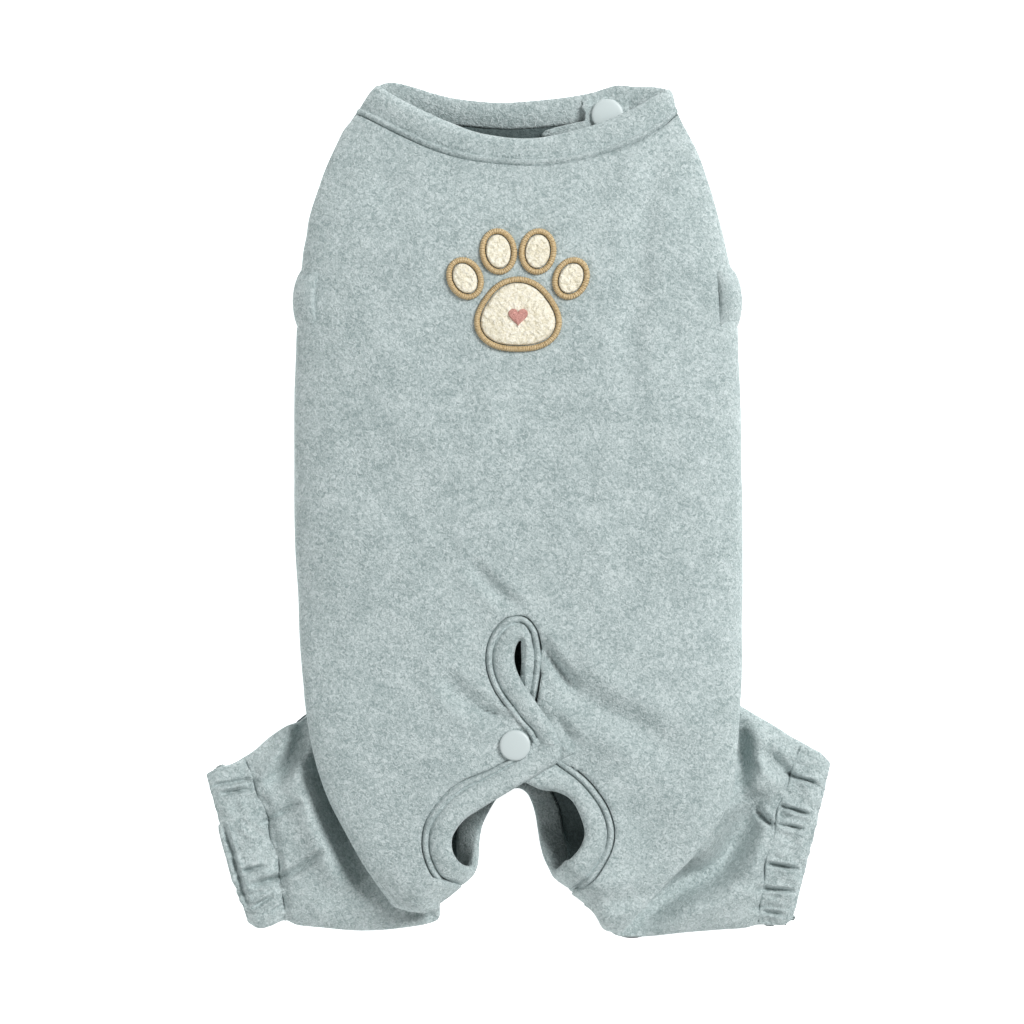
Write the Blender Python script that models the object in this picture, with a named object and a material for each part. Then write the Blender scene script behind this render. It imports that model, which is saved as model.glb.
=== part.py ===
"""A sleeveless jumpsuit for a small dog, lying belly down with its back up.

Metres, +Z up, the neck towards +Y. The origin is on the surface that it lies on, in the
middle of its length and width. Tables hold shares of the named sizes: "across" is a share of
HALF_WIDTH, from the middle, and "along" is a share of LENGTH, from the neck end.
"""

import bmesh
import bpy
import numpy as np

MM = 0.001
LENGTH = 344 * MM
HALF_WIDTH = 89.8 * MM
CLOTH = 2.0 * MM
BAND_CLOTH = 2.6 * MM
CLEARANCE = 0.35 * MM
BINDING_GAP = 0.65 * MM

NECK_HEIGHT = 14 * MM
BODY_HEIGHT = 33 * MM
SIDE_HEIGHT = 12 * MM
SEAM_INSET = 16 * MM
REAR_HEM = 2.5 * MM
# where along the body the seam allowance narrows to the rear hem
HEM_FADE = (0.84, 0.93)
LEG_HEIGHT = 17 * MM
CUFF_HEIGHT = 15 * MM
CUFF_GATHERS = 18
GATHER_DEPTH = 0.7 * MM
SHOULDER_ROUND = 2.5

ARM_HOLE_LENGTH = 32 * MM
ARM_HOLE_WIDTH = 23 * MM
ARM_BAND_DEPTH = 8 * MM
ARM_PLACE = 0.259
ARM_TILT = 0.72

SNAP_DIAMETER = 12.4 * MM
SNAP_CAP_HEIGHT = 1.8 * MM
SNAP_POST_DIAMETER = 4.0 * MM
SNAP_SOCKET_DIAMETER = 10.0 * MM
SNAP_SOCKET_HEIGHT = 1.6 * MM

PATCH_WIDTH = 54 * MM
PATCH_THICKNESS = 1.6 * MM
BORDER_WIDTH = 2.2 * MM
BINDING_CROWN = 0.35 * MM
PATCH_ACROSS = -0.002
PATCH_ALONG = 0.253

TAIL_SNAP_PLACE = (-0.040, 0.7715)
NECK_SNAP_PLACE = (0.399, 0.037)
NECK_TAB = (0.262, 0.490)
NECK_TAB_HEIGHT = 7.9 * MM
UNDERLAP_ALONG = (0.748, 0.815)
UNDERLAP_ACROSS = (-0.120, 0.085)
UNDERLAP_LEAN = 0.9
# corners of the opening between the hind legs, past the rear edge: across, along
OPENING_END_LEFT = (-0.30, 1.1)
OPENING_END_RIGHT = (0.20, 1.1)
OPENING_START = (0.200, 0.774)
BELLY_END = 0.935
BELLY_TOP_FADE = 0.08
# rim heights of the neck band as shares of NECK_HEIGHT: at its corners and at the far side
NECK_CORNER_SHARE = 0.60
NECK_FAR_SHARE = 0.14

FLEECE = (0.46, 0.54, 0.54)
SNAP_PLASTIC = (0.60, 0.68, 0.68)
CREAM = (0.84, 0.80, 0.70)
TAN = (0.52, 0.33, 0.12)
PINK = (0.78, 0.45, 0.40)

# along, left edge across, right edge across
SIDES = [
    (0.030, -0.700, 0.690),
    (0.045, -0.742, 0.727),
    (0.059, -0.780, 0.757),
    (0.094, -0.849, 0.817),
    (0.129, -0.898, 0.862),
    (0.175, -0.942, 0.911),
    (0.222, -0.973, 0.951),
    (0.303, -0.991, 0.982),
    (0.443, -1.000, 1.000),
    (0.606, -0.987, 1.002),
    (0.722, -0.951, 0.987),
    (0.792, -0.880, 0.969),
    (0.839, -0.813, 0.933),
    (0.875, -0.759, 0.862),
    (0.907, -0.697, 0.764),
    (0.933, -0.635, 0.661),
    (0.961, -0.559, 0.560),
    (0.990, -0.490, 0.465),
]
# along, height of the back, height of the side's widest line, lift of the under edge
HEIGHTS = [
    (0.03, 0.00, 0.45, 0.00),
    (0.12, 0.34, 0.70, 0.00),
    (0.24, 0.76, 1.00, 0.00),
    (0.42, 0.94, 1.10, 0.00),
    (0.60, 1.00, 1.15, 0.00),
    (0.70, 1.04, 1.70, 0.70),
    (0.78, 1.06, 2.00, 1.00),
    (1.00, 0.98, 2.00, 1.00),
]
# across, along
NECK_SEAM = [
    (-0.742, 0.045),
    (-0.660, 0.050),
    (-0.528, 0.065),
    (-0.363, 0.083),
    (-0.189, 0.095),
    (0.069, 0.100),
    (0.283, 0.093),
    (0.501, 0.075),
    (0.650, 0.052),
    (0.727, 0.045),
]
FAR_SEAM = [
    (-0.742, 0.045),
    (-0.617, 0.044),
    (-0.332, 0.050),
    (-0.038, 0.055),
    (0.261, 0.050),
    (0.586, 0.042),
    (0.727, 0.045),
]
NECK_RIM = [
    (-0.586, 0.006),
    (-0.530, 0.020),
    (-0.310, 0.048),
    (-0.149, 0.061),
    (0.069, 0.066),
    (0.318, 0.053),
    (0.501, 0.034),
    (0.590, 0.018),
    (0.639, 0.010),
]
FAR_RIM = [
    (-0.586, 0.006),
    (-0.439, 0.008),
    (-0.261, 0.018),
    (-0.038, 0.023),
    (0.283, 0.013),
    (0.497, 0.005),
    (0.639, 0.010),
]
REAR_EDGE = [
    (-0.559, 0.961),
    (-0.448, 0.962),
    (-0.336, 0.955),
    (-0.016, 0.949),
    (0.287, 0.962),
    (0.381, 0.990),
    (0.465, 0.990),
]
# rim across, rim along, seam across, seam along
TAIL_EDGE = [
    (0.068, 0.708, 0.100, 0.703),
    (0.050, 0.692, 0.110, 0.687),
    (0.030, 0.675, 0.113, 0.668),
    (0.022, 0.658, 0.102, 0.651),
    (0.013, 0.648, 0.072, 0.633),
    (0.003, 0.645, 0.010, 0.620),
    (-0.009, 0.650, -0.060, 0.624),
    (-0.017, 0.661, -0.110, 0.637),
    (-0.020, 0.673, -0.140, 0.655),
    (-0.002, 0.690, -0.143, 0.685),
    (0.030, 0.706, -0.105, 0.712),
    (0.073, 0.722, -0.050, 0.733),
    (0.114, 0.738, -0.002, 0.750),
    (0.170, 0.762, 0.045, 0.767),
]
# rim across, rim along, seam across, seam along, share of the back's height
CROTCH_EDGE = [
    (0.195, 0.777, 0.062, 0.774, 1.00),
    (0.122, 0.800, -0.016, 0.788, 1.00),
    (-0.002, 0.820, -0.118, 0.800, 1.00),
    (-0.171, 0.847, -0.247, 0.813, 1.00),
    (-0.261, 0.863, -0.359, 0.838, 1.00),
    (-0.292, 0.881, -0.430, 0.878, 1.00),
    (-0.278, 0.899, -0.410, 0.908, 0.96),
    (-0.240, 0.912, -0.350, 0.932, 0.84),
    (-0.205, 0.918, -0.285, 0.940, 0.52),
    (-0.190, 0.912, -0.262, 0.932, 0.20),
    (-0.178, 0.898, -0.276, 0.904, 0.00),
    (-0.169, 0.882, -0.269, 0.874, 0.00),
    (-0.149, 0.862, -0.237, 0.845, 0.00),
    (-0.096, 0.839, -0.150, 0.815, 0.00),
    (-0.010, 0.828, -0.005, 0.802, 0.00),
    (0.045, 0.838, 0.118, 0.819, 0.00),
    (0.071, 0.858, 0.167, 0.850, 0.00),
    (0.087, 0.884, 0.188, 0.879, 0.00),
    (0.104, 0.902, 0.206, 0.904, 0.00),
    (0.122, 0.922, 0.188, 0.946, 0.20),
    (0.128, 0.920, 0.204, 0.950, 0.52),
    (0.140, 0.911, 0.250, 0.942, 0.84),
    (0.184, 0.904, 0.305, 0.931, 0.96),
    (0.236, 0.899, 0.367, 0.914, 1.00),
    (0.276, 0.888, 0.416, 0.892, 1.00),
    (0.287, 0.873, 0.428, 0.870, 1.00),
    (0.269, 0.853, 0.399, 0.845, 1.00),
    (0.229, 0.836, 0.336, 0.821, 1.00),
    (0.165, 0.827, 0.269, 0.803, 1.00),
    (0.100, 0.824, 0.205, 0.791, 1.00),
]
# samples of a binding's curve between two rows of its table
STEPS = 2
TAIL_SAMPLES = (len(TAIL_EDGE) - 1) * STEPS + 1
CROTCH_SAMPLES = (len(CROTCH_EDGE) - 1) * STEPS + 1
BACK_ROWS_LEFT = slice(0, 8 * STEPS + 1)
BACK_ROWS_RIGHT = slice(20 * STEPS, None)
BELLY_ROWS = slice(9 * STEPS, 19 * STEPS + 1)
# start across, start along, end across, end along, width and depth as shares of BODY_HEIGHT
FOLDS = [
    (0.100, 0.652, 0.168, 0.682, 0.16, 0.12),
    (0.168, 0.682, 0.300, 0.722, 0.24, 0.14),
    (0.300, 0.722, 0.610, 0.770, 0.36, 0.09),
    (-0.207, 0.565, -0.007, 0.613, 0.16, 0.06),
    (-0.314, 0.699, -0.170, 0.732, 0.14, 0.08),
    (-0.170, 0.732, -0.020, 0.747, 0.10, 0.08),
    (0.650, 0.082, 0.540, 0.210, 0.20, 0.06),
    (0.540, 0.210, 0.474, 0.350, 0.26, 0.05),
    (-0.300, 0.870, 0.290, 0.870, 0.75, 0.30),
]
# edges where the back rolls down: points across and along, width and low height as shares
ROLLS = [
    ([(-0.600, 0.970), (-0.448, 0.970), (-0.336, 0.964)], 0.45, 0.70),
    ([(0.270, 0.965), (0.360, 0.998), (0.465, 1.000)], 0.45, 0.70),
    ([(-0.336, 0.964), (-0.250, 0.940), (-0.190, 0.922)], 0.40, 0.45),
    ([(0.110, 0.915), (0.185, 0.940), (0.270, 0.965)], 0.40, 0.45),
]
# top edge across and along, bottom edge across and along, height
LEFT_LEG = [
    (-0.760, 0.690, -0.350, 0.962, 1.00),
    (-0.880, 0.722, -0.385, 0.983, 1.00),
    (-0.970, 0.745, -0.540, 0.990, 1.00),
    (-1.090, 0.765, -0.800, 0.993, 0.98),
    (-1.175, 0.781, -0.990, 0.991, 0.92),
    (-1.225, 0.788, -1.045, 0.982, 0.84),
]
RIGHT_LEG = [
    (0.760, 0.690, 0.385, 0.968, 1.00),
    (0.900, 0.712, 0.420, 0.994, 1.00),
    (1.010, 0.735, 0.560, 0.998, 1.00),
    (1.110, 0.752, 0.760, 0.993, 0.98),
    (1.210, 0.768, 0.960, 0.990, 0.92),
    (1.262, 0.774, 1.070, 0.985, 0.84),
]
LEFT_CUFF = [
    (-1.235, 0.789, -1.058, 0.982, 0.94),
    (-1.285, 0.796, -1.110, 0.990, 1.00),
    (-1.340, 0.802, -1.165, 0.990, 1.00),
    (-1.388, 0.808, -1.205, 0.984, 0.92),
]
RIGHT_CUFF = [
    (1.272, 0.775, 1.081, 0.985, 0.94),
    (1.315, 0.780, 1.130, 0.987, 1.00),
    (1.360, 0.787, 1.180, 0.986, 1.00),
    (1.392, 0.796, 1.220, 0.980, 0.92),
]
# centre across and along the patch, half width, half height, turn in radians
TOES = [
    (-0.390, 0.130, 0.085, 0.115, 0.45),
    (-0.145, 0.330, 0.090, 0.125, 0.12),
    (0.145, 0.330, 0.090, 0.125, -0.12),
    (0.390, 0.130, 0.085, 0.115, -0.45),
]
PAD_CENTRE = (0.0, -0.150)
PAD_SIZE = (0.270, 0.230)
HEART_SIZE = 0.075


def smooth_curve(points, samples):
    """A smooth curve through the points, as samples spaced evenly by point number."""
    points = np.asarray(points, float)
    count = len(points)
    slope = np.empty_like(points)
    slope[1:-1] = (points[2:] - points[:-2]) / 2
    slope[0] = points[1] - points[0]
    slope[-1] = points[-1] - points[-2]
    at = np.linspace(0, count - 1, samples)
    start = np.minimum(at.astype(int), count - 2)
    t = (at - start)[:, None]
    p0, p1, m0, m1 = points[start], points[start + 1], slope[start], slope[start + 1]
    rise = t * t * (3 - 2 * t)
    return p0 * (1 - rise) + p1 * rise + m0 * t * (1 - t) ** 2 - m1 * t * t * (1 - t)


def column(table, key, at):
    """A table's column read smoothly at the given values of its first column."""
    table = np.asarray(table, float)
    dense = smooth_curve(table, 40 * len(table))
    return np.interp(at, dense[:, 0], dense[:, key])


def place(across, along):
    """The plan position of a point given in shares."""
    return across * HALF_WIDTH, (0.5 - along) * LENGTH


def distance_to_path(x, y, path):
    """The distance in plan from each point to a path of straight runs."""
    best = np.full(np.shape(x), np.inf)
    for (ax, ay), (bx, by) in zip(path[:-1], path[1:]):
        dx, dy = bx - ax, by - ay
        t = np.clip(((x - ax) * dx + (y - ay) * dy) / (dx * dx + dy * dy), 0, 1)
        best = np.minimum(best, np.hypot(x - ax - t * dx, y - ay - t * dy))
    return best


def back_heights(along):
    """The heights of the back, of the side's widest line and of the under edge."""
    rise = column(HEIGHTS, 1, along)
    top = NECK_HEIGHT + (BODY_HEIGHT - NECK_HEIGHT) * rise
    side = SIDE_HEIGHT * column(HEIGHTS, 2, along)
    under = (LEG_HEIGHT + 2 * CLEARANCE) * np.clip(column(HEIGHTS, 3, along), 0, 1)
    return top, side, under


def back_surface(x, y):
    """The height of the back's outer surface over the plan points."""
    along = 0.5 - y / LENGTH
    left, right = column(SIDES, 1, along) * HALF_WIDTH, column(SIDES, 2, along) * HALF_WIDTH
    top, side, _ = back_heights(along)
    u = np.clip(2 * (x - left) / (right - left) - 1, -1, 1)
    z = side + (top - side) * (1 - np.abs(u) ** SHOULDER_ROUND) ** (1 / SHOULDER_ROUND)
    for ax, ay, bx, by, width, depth in FOLDS:
        path = [place(ax, ay), place(bx, by)]
        spread = distance_to_path(x, y, path) / (width * BODY_HEIGHT)
        z = z - depth * BODY_HEIGHT * np.exp(-spread ** 2)
    for points, width, low in ROLLS:
        away = distance_to_path(x, y, [place(*p) for p in points]) / (width * BODY_HEIGHT)
        low_z = low * BODY_HEIGHT
        z = low_z + (z - low_z) * np.sqrt(1 - (1 - np.clip(away, 0, 1)) ** 2)
    return z


def grid_normals(grid, ring_u=False, ring_v=False):
    """Unit normals of a grid of points, rows along v and columns along u."""

    def slope(axis, ring):
        if ring:
            return np.roll(grid, -1, axis) - np.roll(grid, 1, axis)
        return np.gradient(grid, axis=axis)

    normal = np.cross(slope(1, ring_u), slope(0, ring_v))
    return normal / np.linalg.norm(normal, axis=2, keepdims=True)


def add_object(name, mesh, colour, roughness=0.95):
    """Links a mesh as an object with a material of its own."""
    material = bpy.data.materials.new(name + "_finish")
    material.use_nodes = True
    shader = material.node_tree.nodes["Principled BSDF"]
    shader.inputs["Base Color"].default_value = (*colour, 1)
    shader.inputs["Roughness"].default_value = roughness
    mesh.materials.append(material)
    item = bpy.data.objects.new(name, mesh)
    bpy.context.scene.collection.objects.link(item)
    return item


def close_body(mesh_data):
    """Splits a body's faces into triangles and turns them outwards."""
    data = bmesh.new()
    data.from_mesh(mesh_data)
    bmesh.ops.recalc_face_normals(data, faces=data.faces)
    bmesh.ops.triangulate(data, faces=data.faces)
    if data.calc_volume(signed=True) < 0:
        bmesh.ops.reverse_faces(data, faces=data.faces)
    data.to_mesh(mesh_data)
    data.free()


def wall_mesh(name, outer, inner, ring_u=False, ring_v=False):
    """A closed wall between two grids of points, open or closed along each way."""
    rows, cols, _ = outer.shape
    points = np.concatenate([outer.reshape(-1, 3), inner.reshape(-1, 3)])
    shift = rows * cols
    index = np.arange(shift).reshape(rows, cols)
    wrapped = index
    if ring_u:
        wrapped = np.concatenate([wrapped, wrapped[:, :1]], 1)
    if ring_v:
        wrapped = np.concatenate([wrapped, wrapped[:1]], 0)
    a, b, c, d = wrapped[:-1, :-1], wrapped[:-1, 1:], wrapped[1:, 1:], wrapped[1:, :-1]
    skin = np.stack([a, b, c, d], 2).reshape(-1, 4)
    faces = [skin, skin[:, ::-1] + shift]
    rims = []
    if not ring_v:
        rims += [wrapped[0], wrapped[-1][::-1]]
    if not ring_u:
        rims += [wrapped[:, -1], wrapped[::-1, 0]]
    for rim in rims:
        faces.append(np.stack([rim[:-1], rim[:-1] + shift, rim[1:] + shift, rim[1:]], 1))
    mesh = bpy.data.meshes.new(name)
    mesh.from_pydata(points.tolist(), [], np.concatenate(faces).tolist())
    close_body(mesh)
    return mesh


def cut(item, cutter):
    """Cuts one object by another, which stays as a hidden guide."""
    cutter.hide_render = True
    cutter.display_type = "WIRE"
    modifier = item.modifiers.new("cut", "BOOLEAN")
    modifier.operation = "DIFFERENCE"
    modifier.solver = "EXACT"
    modifier.object = cutter


def prism(name, outline, low, high):
    """An upright prism over a plan outline."""
    base = np.array([(x, y, low) for x, y in outline])
    lid = base + (0, 0, high - low)
    count = len(base)
    faces = [list(range(count))[::-1], list(range(count, 2 * count))]
    faces += [[i, (i + 1) % count, (i + 1) % count + count, i + count] for i in range(count)]
    mesh = bpy.data.meshes.new(name)
    mesh.from_pydata(np.concatenate([base, lid]).tolist(), [], faces)
    close_body(mesh)
    guide = bpy.data.objects.new(name, mesh)
    bpy.context.scene.collection.objects.link(guide)
    return guide


def side_curve(which, rows):
    """One side's outline in plan, from the neck seam to the rear edge."""
    key = 1 if which == "left" else 2
    end = REAR_EDGE[0] if which == "left" else REAR_EDGE[-1]
    start = NECK_SEAM[0] if which == "left" else NECK_SEAM[-1]
    along = np.linspace(start[1], end[1], rows)
    across = column(SIDES, key, along)
    across += np.linspace(start[0] - across[0], end[0] - across[-1], rows)
    return np.stack(place(across, along), 1)


def build_back_panel():
    """The upper shell: a net between the neck seam, the sides and the rear edge."""
    rows, cols, turns = 24, 21, 3
    swing = np.linspace(-1, 1, cols)
    u = 0.5 + 0.5 * np.sign(swing) * (1 - (1 - np.abs(swing)) ** 1.7)
    v = np.linspace(0, 1, rows)
    left, right = side_curve("left", rows), side_curve("right", rows)

    def edge(table):
        across = table[0][0] + (table[-1][0] - table[0][0]) * u
        return np.stack(place(across, column(table, 1, across)), 1)

    top, rear = edge(NECK_SEAM), edge(REAR_EDGE)
    uu, vv = u[None, :, None], v[:, None, None]
    plan = (1 - vv) * top[None] + vv * rear[None] + (1 - uu) * left[:, None] + uu * right[:, None]
    plan -= (1 - vv) * ((1 - uu) * top[0] + uu * top[-1]) + vv * ((1 - uu) * rear[0] + uu * rear[-1])
    z = back_surface(plan[..., 0], plan[..., 1])
    upper = np.dstack([plan, z])

    def under_side(start, towards):
        along = 0.5 - start[:, 1] / LENGTH
        _, _, under = back_heights(along)
        psi = np.linspace(0, np.pi / 2, turns + 1)[1:]
        hem = np.interp(along, HEM_FADE, [SEAM_INSET - CLEARANCE, REAR_HEM])
        reach = hem[:, None] * (1 - np.cos(psi))
        inward = towards / np.linalg.norm(towards, axis=1, keepdims=True)
        place_2d = start[:, None, :2] + inward[:, None] * reach[..., None]
        fall = (start[:, 2] - under)[:, None] * np.sin(psi)[None]
        return np.dstack([place_2d, start[:, 2, None] - fall])

    run = plan[:, -1] - plan[:, 0]
    left_under = under_side(upper[:, 0], run)[:, ::-1]
    right_under = under_side(upper[:, -1], -run)
    outer = np.concatenate([left_under, upper, right_under], 1)
    inner = outer + grid_normals(outer) * CLOTH
    panel = add_object("back_panel", wall_mesh("back_panel", outer, inner), FLEECE)
    cut(panel, tail_cutter())
    cut(panel, crotch_cutter())
    for side in (-1, 1):
        cut(panel, arm_cutter(side))
    cut(panel, snap_cutter("flap_snap_room", *TAIL_SNAP_PLACE))
    return panel


def offset_path(path, distance):
    """A plan path moved sideways, to the left of its direction."""
    path = np.asarray(path)
    run = np.gradient(path, axis=0)
    side = np.stack([-run[:, 1], run[:, 0]], 1) / np.linalg.norm(run, axis=1, keepdims=True)
    return path + side * distance


def plan_path(table, keys, samples):
    """A smooth plan path from two columns of a table."""
    table = np.asarray(table, float)[:, list(keys)]
    curve = smooth_curve(table, samples)
    return np.stack(place(curve[:, 0], curve[:, 1]), 1)


def tail_cutter():
    """The room in the back for the tail hole's binding and the flap's right edge."""
    seam = offset_path(plan_path(TAIL_EDGE, (2, 3), TAIL_SAMPLES), -BINDING_GAP)
    flap_edge = plan_path(TAIL_EDGE, (0, 1), TAIL_SAMPLES)[(len(TAIL_EDGE) - 3) * STEPS :]
    rim = offset_path(flap_edge, BINDING_GAP)
    seam = np.append(seam, [2 * seam[-1] - seam[-2]], 0)
    rim = np.append(rim, [2 * rim[-1] - rim[-2]], 0)
    return prism("tail_room", np.concatenate([seam, rim[::-1]]), 0, 2 * BODY_HEIGHT)


def crotch_cutter():
    """The opening between the hind legs, out to the seams of its binding."""
    seam = plan_path(CROTCH_EDGE, (2, 3), CROTCH_SAMPLES)
    left = offset_path(seam[BACK_ROWS_LEFT], -BINDING_GAP)
    right = offset_path(seam[BACK_ROWS_RIGHT], -BINDING_GAP)
    below = [place(*OPENING_END_LEFT), place(*OPENING_END_RIGHT)]
    outline = np.concatenate([left, below, right, [place(*OPENING_START)]])
    return prism("crotch_room", outline, 0, 2 * BODY_HEIGHT)


def belly_cutter():
    """The cut-out of the belly, out to the seam of its binding."""
    seam = plan_path(CROTCH_EDGE, (2, 3), CROTCH_SAMPLES)
    path = offset_path(seam[BELLY_ROWS], CLEARANCE)
    below = [place(*OPENING_END_RIGHT), place(*OPENING_END_LEFT)]
    return prism("belly_room", np.concatenate([path, below]), -CLOTH, SIDE_HEIGHT)


def build_belly_panel():
    """The flat under side, whose edges meet the back's under edges and the legs' mouths."""
    rows, cols = 17, 6
    along = np.linspace(FAR_SEAM[0][1], BELLY_END, rows)
    edges = []
    for key, leg, sign in ((1, LEFT_LEG, 1), (2, RIGHT_LEG, -1)):
        inset = column(SIDES, key, along) * HALF_WIDTH + sign * (SEAM_INSET + CLEARANCE)
        (tx, ty), (bx, by) = place(*leg[0][:2]), place(*leg[0][2:4])
        _, y = place(0, along)
        mouth = tx + (bx - tx) * (ty - y) / (ty - by) + sign * 2 * CLEARANCE
        edges.append(np.maximum(inset, mouth) if sign > 0 else np.minimum(inset, mouth))
    u = np.linspace(0, 1, cols)[None]
    x = edges[0][:, None] * (1 - u) + edges[1][:, None] * u
    far_along = column(FAR_SEAM, 1, x[0] / HALF_WIDTH)
    fade = np.clip(1 - (along - along[0]) / BELLY_TOP_FADE, 0, 1)[:, None]
    y = place(0, along[:, None] + fade * (far_along - along[0])[None])[1] + 0 * x
    outer = np.dstack([x, y, 0 * x])
    inner = outer + (0, 0, CLOTH)
    panel = add_object("belly_panel", wall_mesh("belly_panel", outer, inner), FLEECE)
    cut(panel, belly_cutter())
    return panel


def ring_row(front, far, corner_z, front_z, far_z, turns):
    """A loop round the neck from its front and far edges in plan."""
    angle = 2 * np.pi * np.arange(turns) / turns
    x0, x1 = front[0][0], front[-1][0]
    across = (x0 + x1) / 2 + (x1 - x0) / 2 * np.sign(np.cos(angle)) * np.abs(np.cos(angle)) ** 0.8
    over = np.sin(angle) >= 0
    along = np.where(over, column(front, 1, across), column(far, 1, across))
    lift = np.abs(np.sin(angle)) ** 0.6
    z = np.where(over, corner_z + (front_z - corner_z) * lift, corner_z + (far_z - corner_z) * lift)
    x, y = place(across, along)
    return np.stack([x, y, z], 1)


def build_neck_band():
    """The folded band: a ring from the neck seam up to the rim."""
    turns = 48
    side = float(back_heights(np.array([NECK_SEAM[0][1]]))[1][0])
    seam = ring_row(NECK_SEAM, FAR_SEAM, side, NECK_HEIGHT, CLEARANCE, turns)
    seam[:, 1] += 3 * CLEARANCE
    corner_z, far_z = NECK_CORNER_SHARE * NECK_HEIGHT, NECK_FAR_SHARE * NECK_HEIGHT
    rim = ring_row(NECK_RIM, FAR_RIM, corner_z, NECK_HEIGHT, far_z, turns)
    rows = []
    for share in np.linspace(0, 1, 3):
        rows.append(seam * (1 - share) + rim * share)
    outer = np.stack(rows)
    middle = outer.mean((0, 1))
    normal = grid_normals(outer, ring_u=True)
    if ((outer - middle) * normal).sum() < 0:
        normal = -normal
    inner = outer - normal * BAND_CLOTH
    band = add_object("neck_band", wall_mesh("neck_band", outer, inner, ring_u=True), FLEECE)
    cut(band, snap_cutter("band_snap_room", *NECK_SNAP_PLACE, 0.5 * NECK_HEIGHT))
    return band


def strip(rim, seam, z_rim, z_seam, thickness, across_steps=2):
    """A flat binding between two plan paths, crowned along its middle."""
    rows = []
    for share in np.linspace(0, 1, across_steps + 1):
        crown = BINDING_CROWN * np.sqrt(max(0.0, 4 * share * (1 - share)))
        plan = seam * (1 - share) + rim * share
        rows.append(np.column_stack([plan, z_seam * (1 - share) + z_rim * share + crown]))
    outer = np.stack(rows, 1)
    normal = grid_normals(outer)
    return outer, outer - normal * thickness * np.sign(normal[..., 2:].mean())


def build_tail_binding():
    """The bound edge of the tail hole and the flap's right edge."""
    rim = plan_path(TAIL_EDGE, (0, 1), TAIL_SAMPLES)
    seam = plan_path(TAIL_EDGE, (2, 3), TAIL_SAMPLES)
    z_rim, z_seam = back_surface(*rim.T), back_surface(*seam.T)
    outer, inner = strip(rim, seam, z_rim, z_seam, BAND_CLOTH)
    return add_object("tail_binding", wall_mesh("tail_binding", outer, inner), FLEECE)


def build_crotch_binding():
    """The bound edge of the opening: over the back, round the thighs and along the belly."""
    table = smooth_curve(CROTCH_EDGE, CROTCH_SAMPLES)
    rim = np.stack(place(table[:, 0], table[:, 1]), 1)
    seam = np.stack(place(table[:, 2], table[:, 3]), 1)
    share = np.clip(table[:, 4], 0, 1)
    z_rim, z_seam = back_surface(*rim.T) * share, back_surface(*seam.T) * share
    outer = []
    for part in np.linspace(0, 1, 3):
        plan = seam * (1 - part) + rim * part
        outer.append(np.column_stack([plan, z_seam * (1 - part) + z_rim * part]))
    outer = np.stack(outer, 1)
    normal = grid_normals(outer)
    if normal[0, :, 2].mean() > 0:
        normal = -normal
    inner = outer + normal * BAND_CLOTH
    return add_object("crotch_binding", wall_mesh("crotch_binding", outer, inner), FLEECE)


def arm_frame(side):
    """The arm hole's centre, its outward axis and the direction of its width."""
    key = 1 if side < 0 else 2
    edge = float(column(SIDES, key, np.array([ARM_PLACE]))[0]) * HALF_WIDTH
    lean = np.sqrt(1 - ARM_TILT ** 2)
    axis = np.array([side * ARM_TILT, 0, -lean])
    width = np.array([side * lean, 0, ARM_TILT])
    centre = np.array([edge - side * 0.5 * SEAM_INSET, place(0, ARM_PLACE)[1], 1.02 * SIDE_HEIGHT])
    return centre, axis, width


def arm_ring(side, grow, reach, turns=20):
    """An oval loop round the arm hole, at a distance along its axis."""
    centre, axis, width = arm_frame(side)
    angle = 2 * np.pi * np.arange(turns) / turns
    long_way = (ARM_HOLE_LENGTH / 2 + grow) * np.cos(angle)
    wide_way = (ARM_HOLE_WIDTH / 2 + grow) * np.sin(angle)
    loop = centre + axis * reach + wide_way[:, None] * width
    loop[:, 1] += long_way
    return loop


def arm_cutter(side):
    """The oval hole that the arm band sits in."""
    rows = np.stack([arm_ring(side, 0, -0.6 * ARM_BAND_DEPTH), arm_ring(side, 0, 2 * ARM_BAND_DEPTH)])
    name = "arm_room_left" if side < 0 else "arm_room_right"
    count = rows.shape[1]
    faces = [list(range(count)), list(range(count, 2 * count))[::-1]]
    faces += [[i, (i + 1) % count, (i + 1) % count + count, i + count] for i in range(count)]
    mesh = bpy.data.meshes.new(name)
    mesh.from_pydata(rows.reshape(-1, 3).tolist(), [], faces)
    close_body(mesh)
    guide = bpy.data.objects.new(name, mesh)
    bpy.context.scene.collection.objects.link(guide)
    return guide


def build_arm_band(side):
    """The band round a front-leg hole, a short oval sleeve through the panel."""
    name = "arm_band_left" if side < 0 else "arm_band_right"
    reaches = np.linspace(-0.5, 0.5, 3) * ARM_BAND_DEPTH
    outer = np.stack([arm_ring(side, -CLEARANCE, r) for r in reaches])
    inner = np.stack([arm_ring(side, -CLEARANCE - BAND_CLOTH, r) for r in reaches])
    return add_object(name, wall_mesh(name, outer, inner, ring_u=True), FLEECE)


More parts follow.
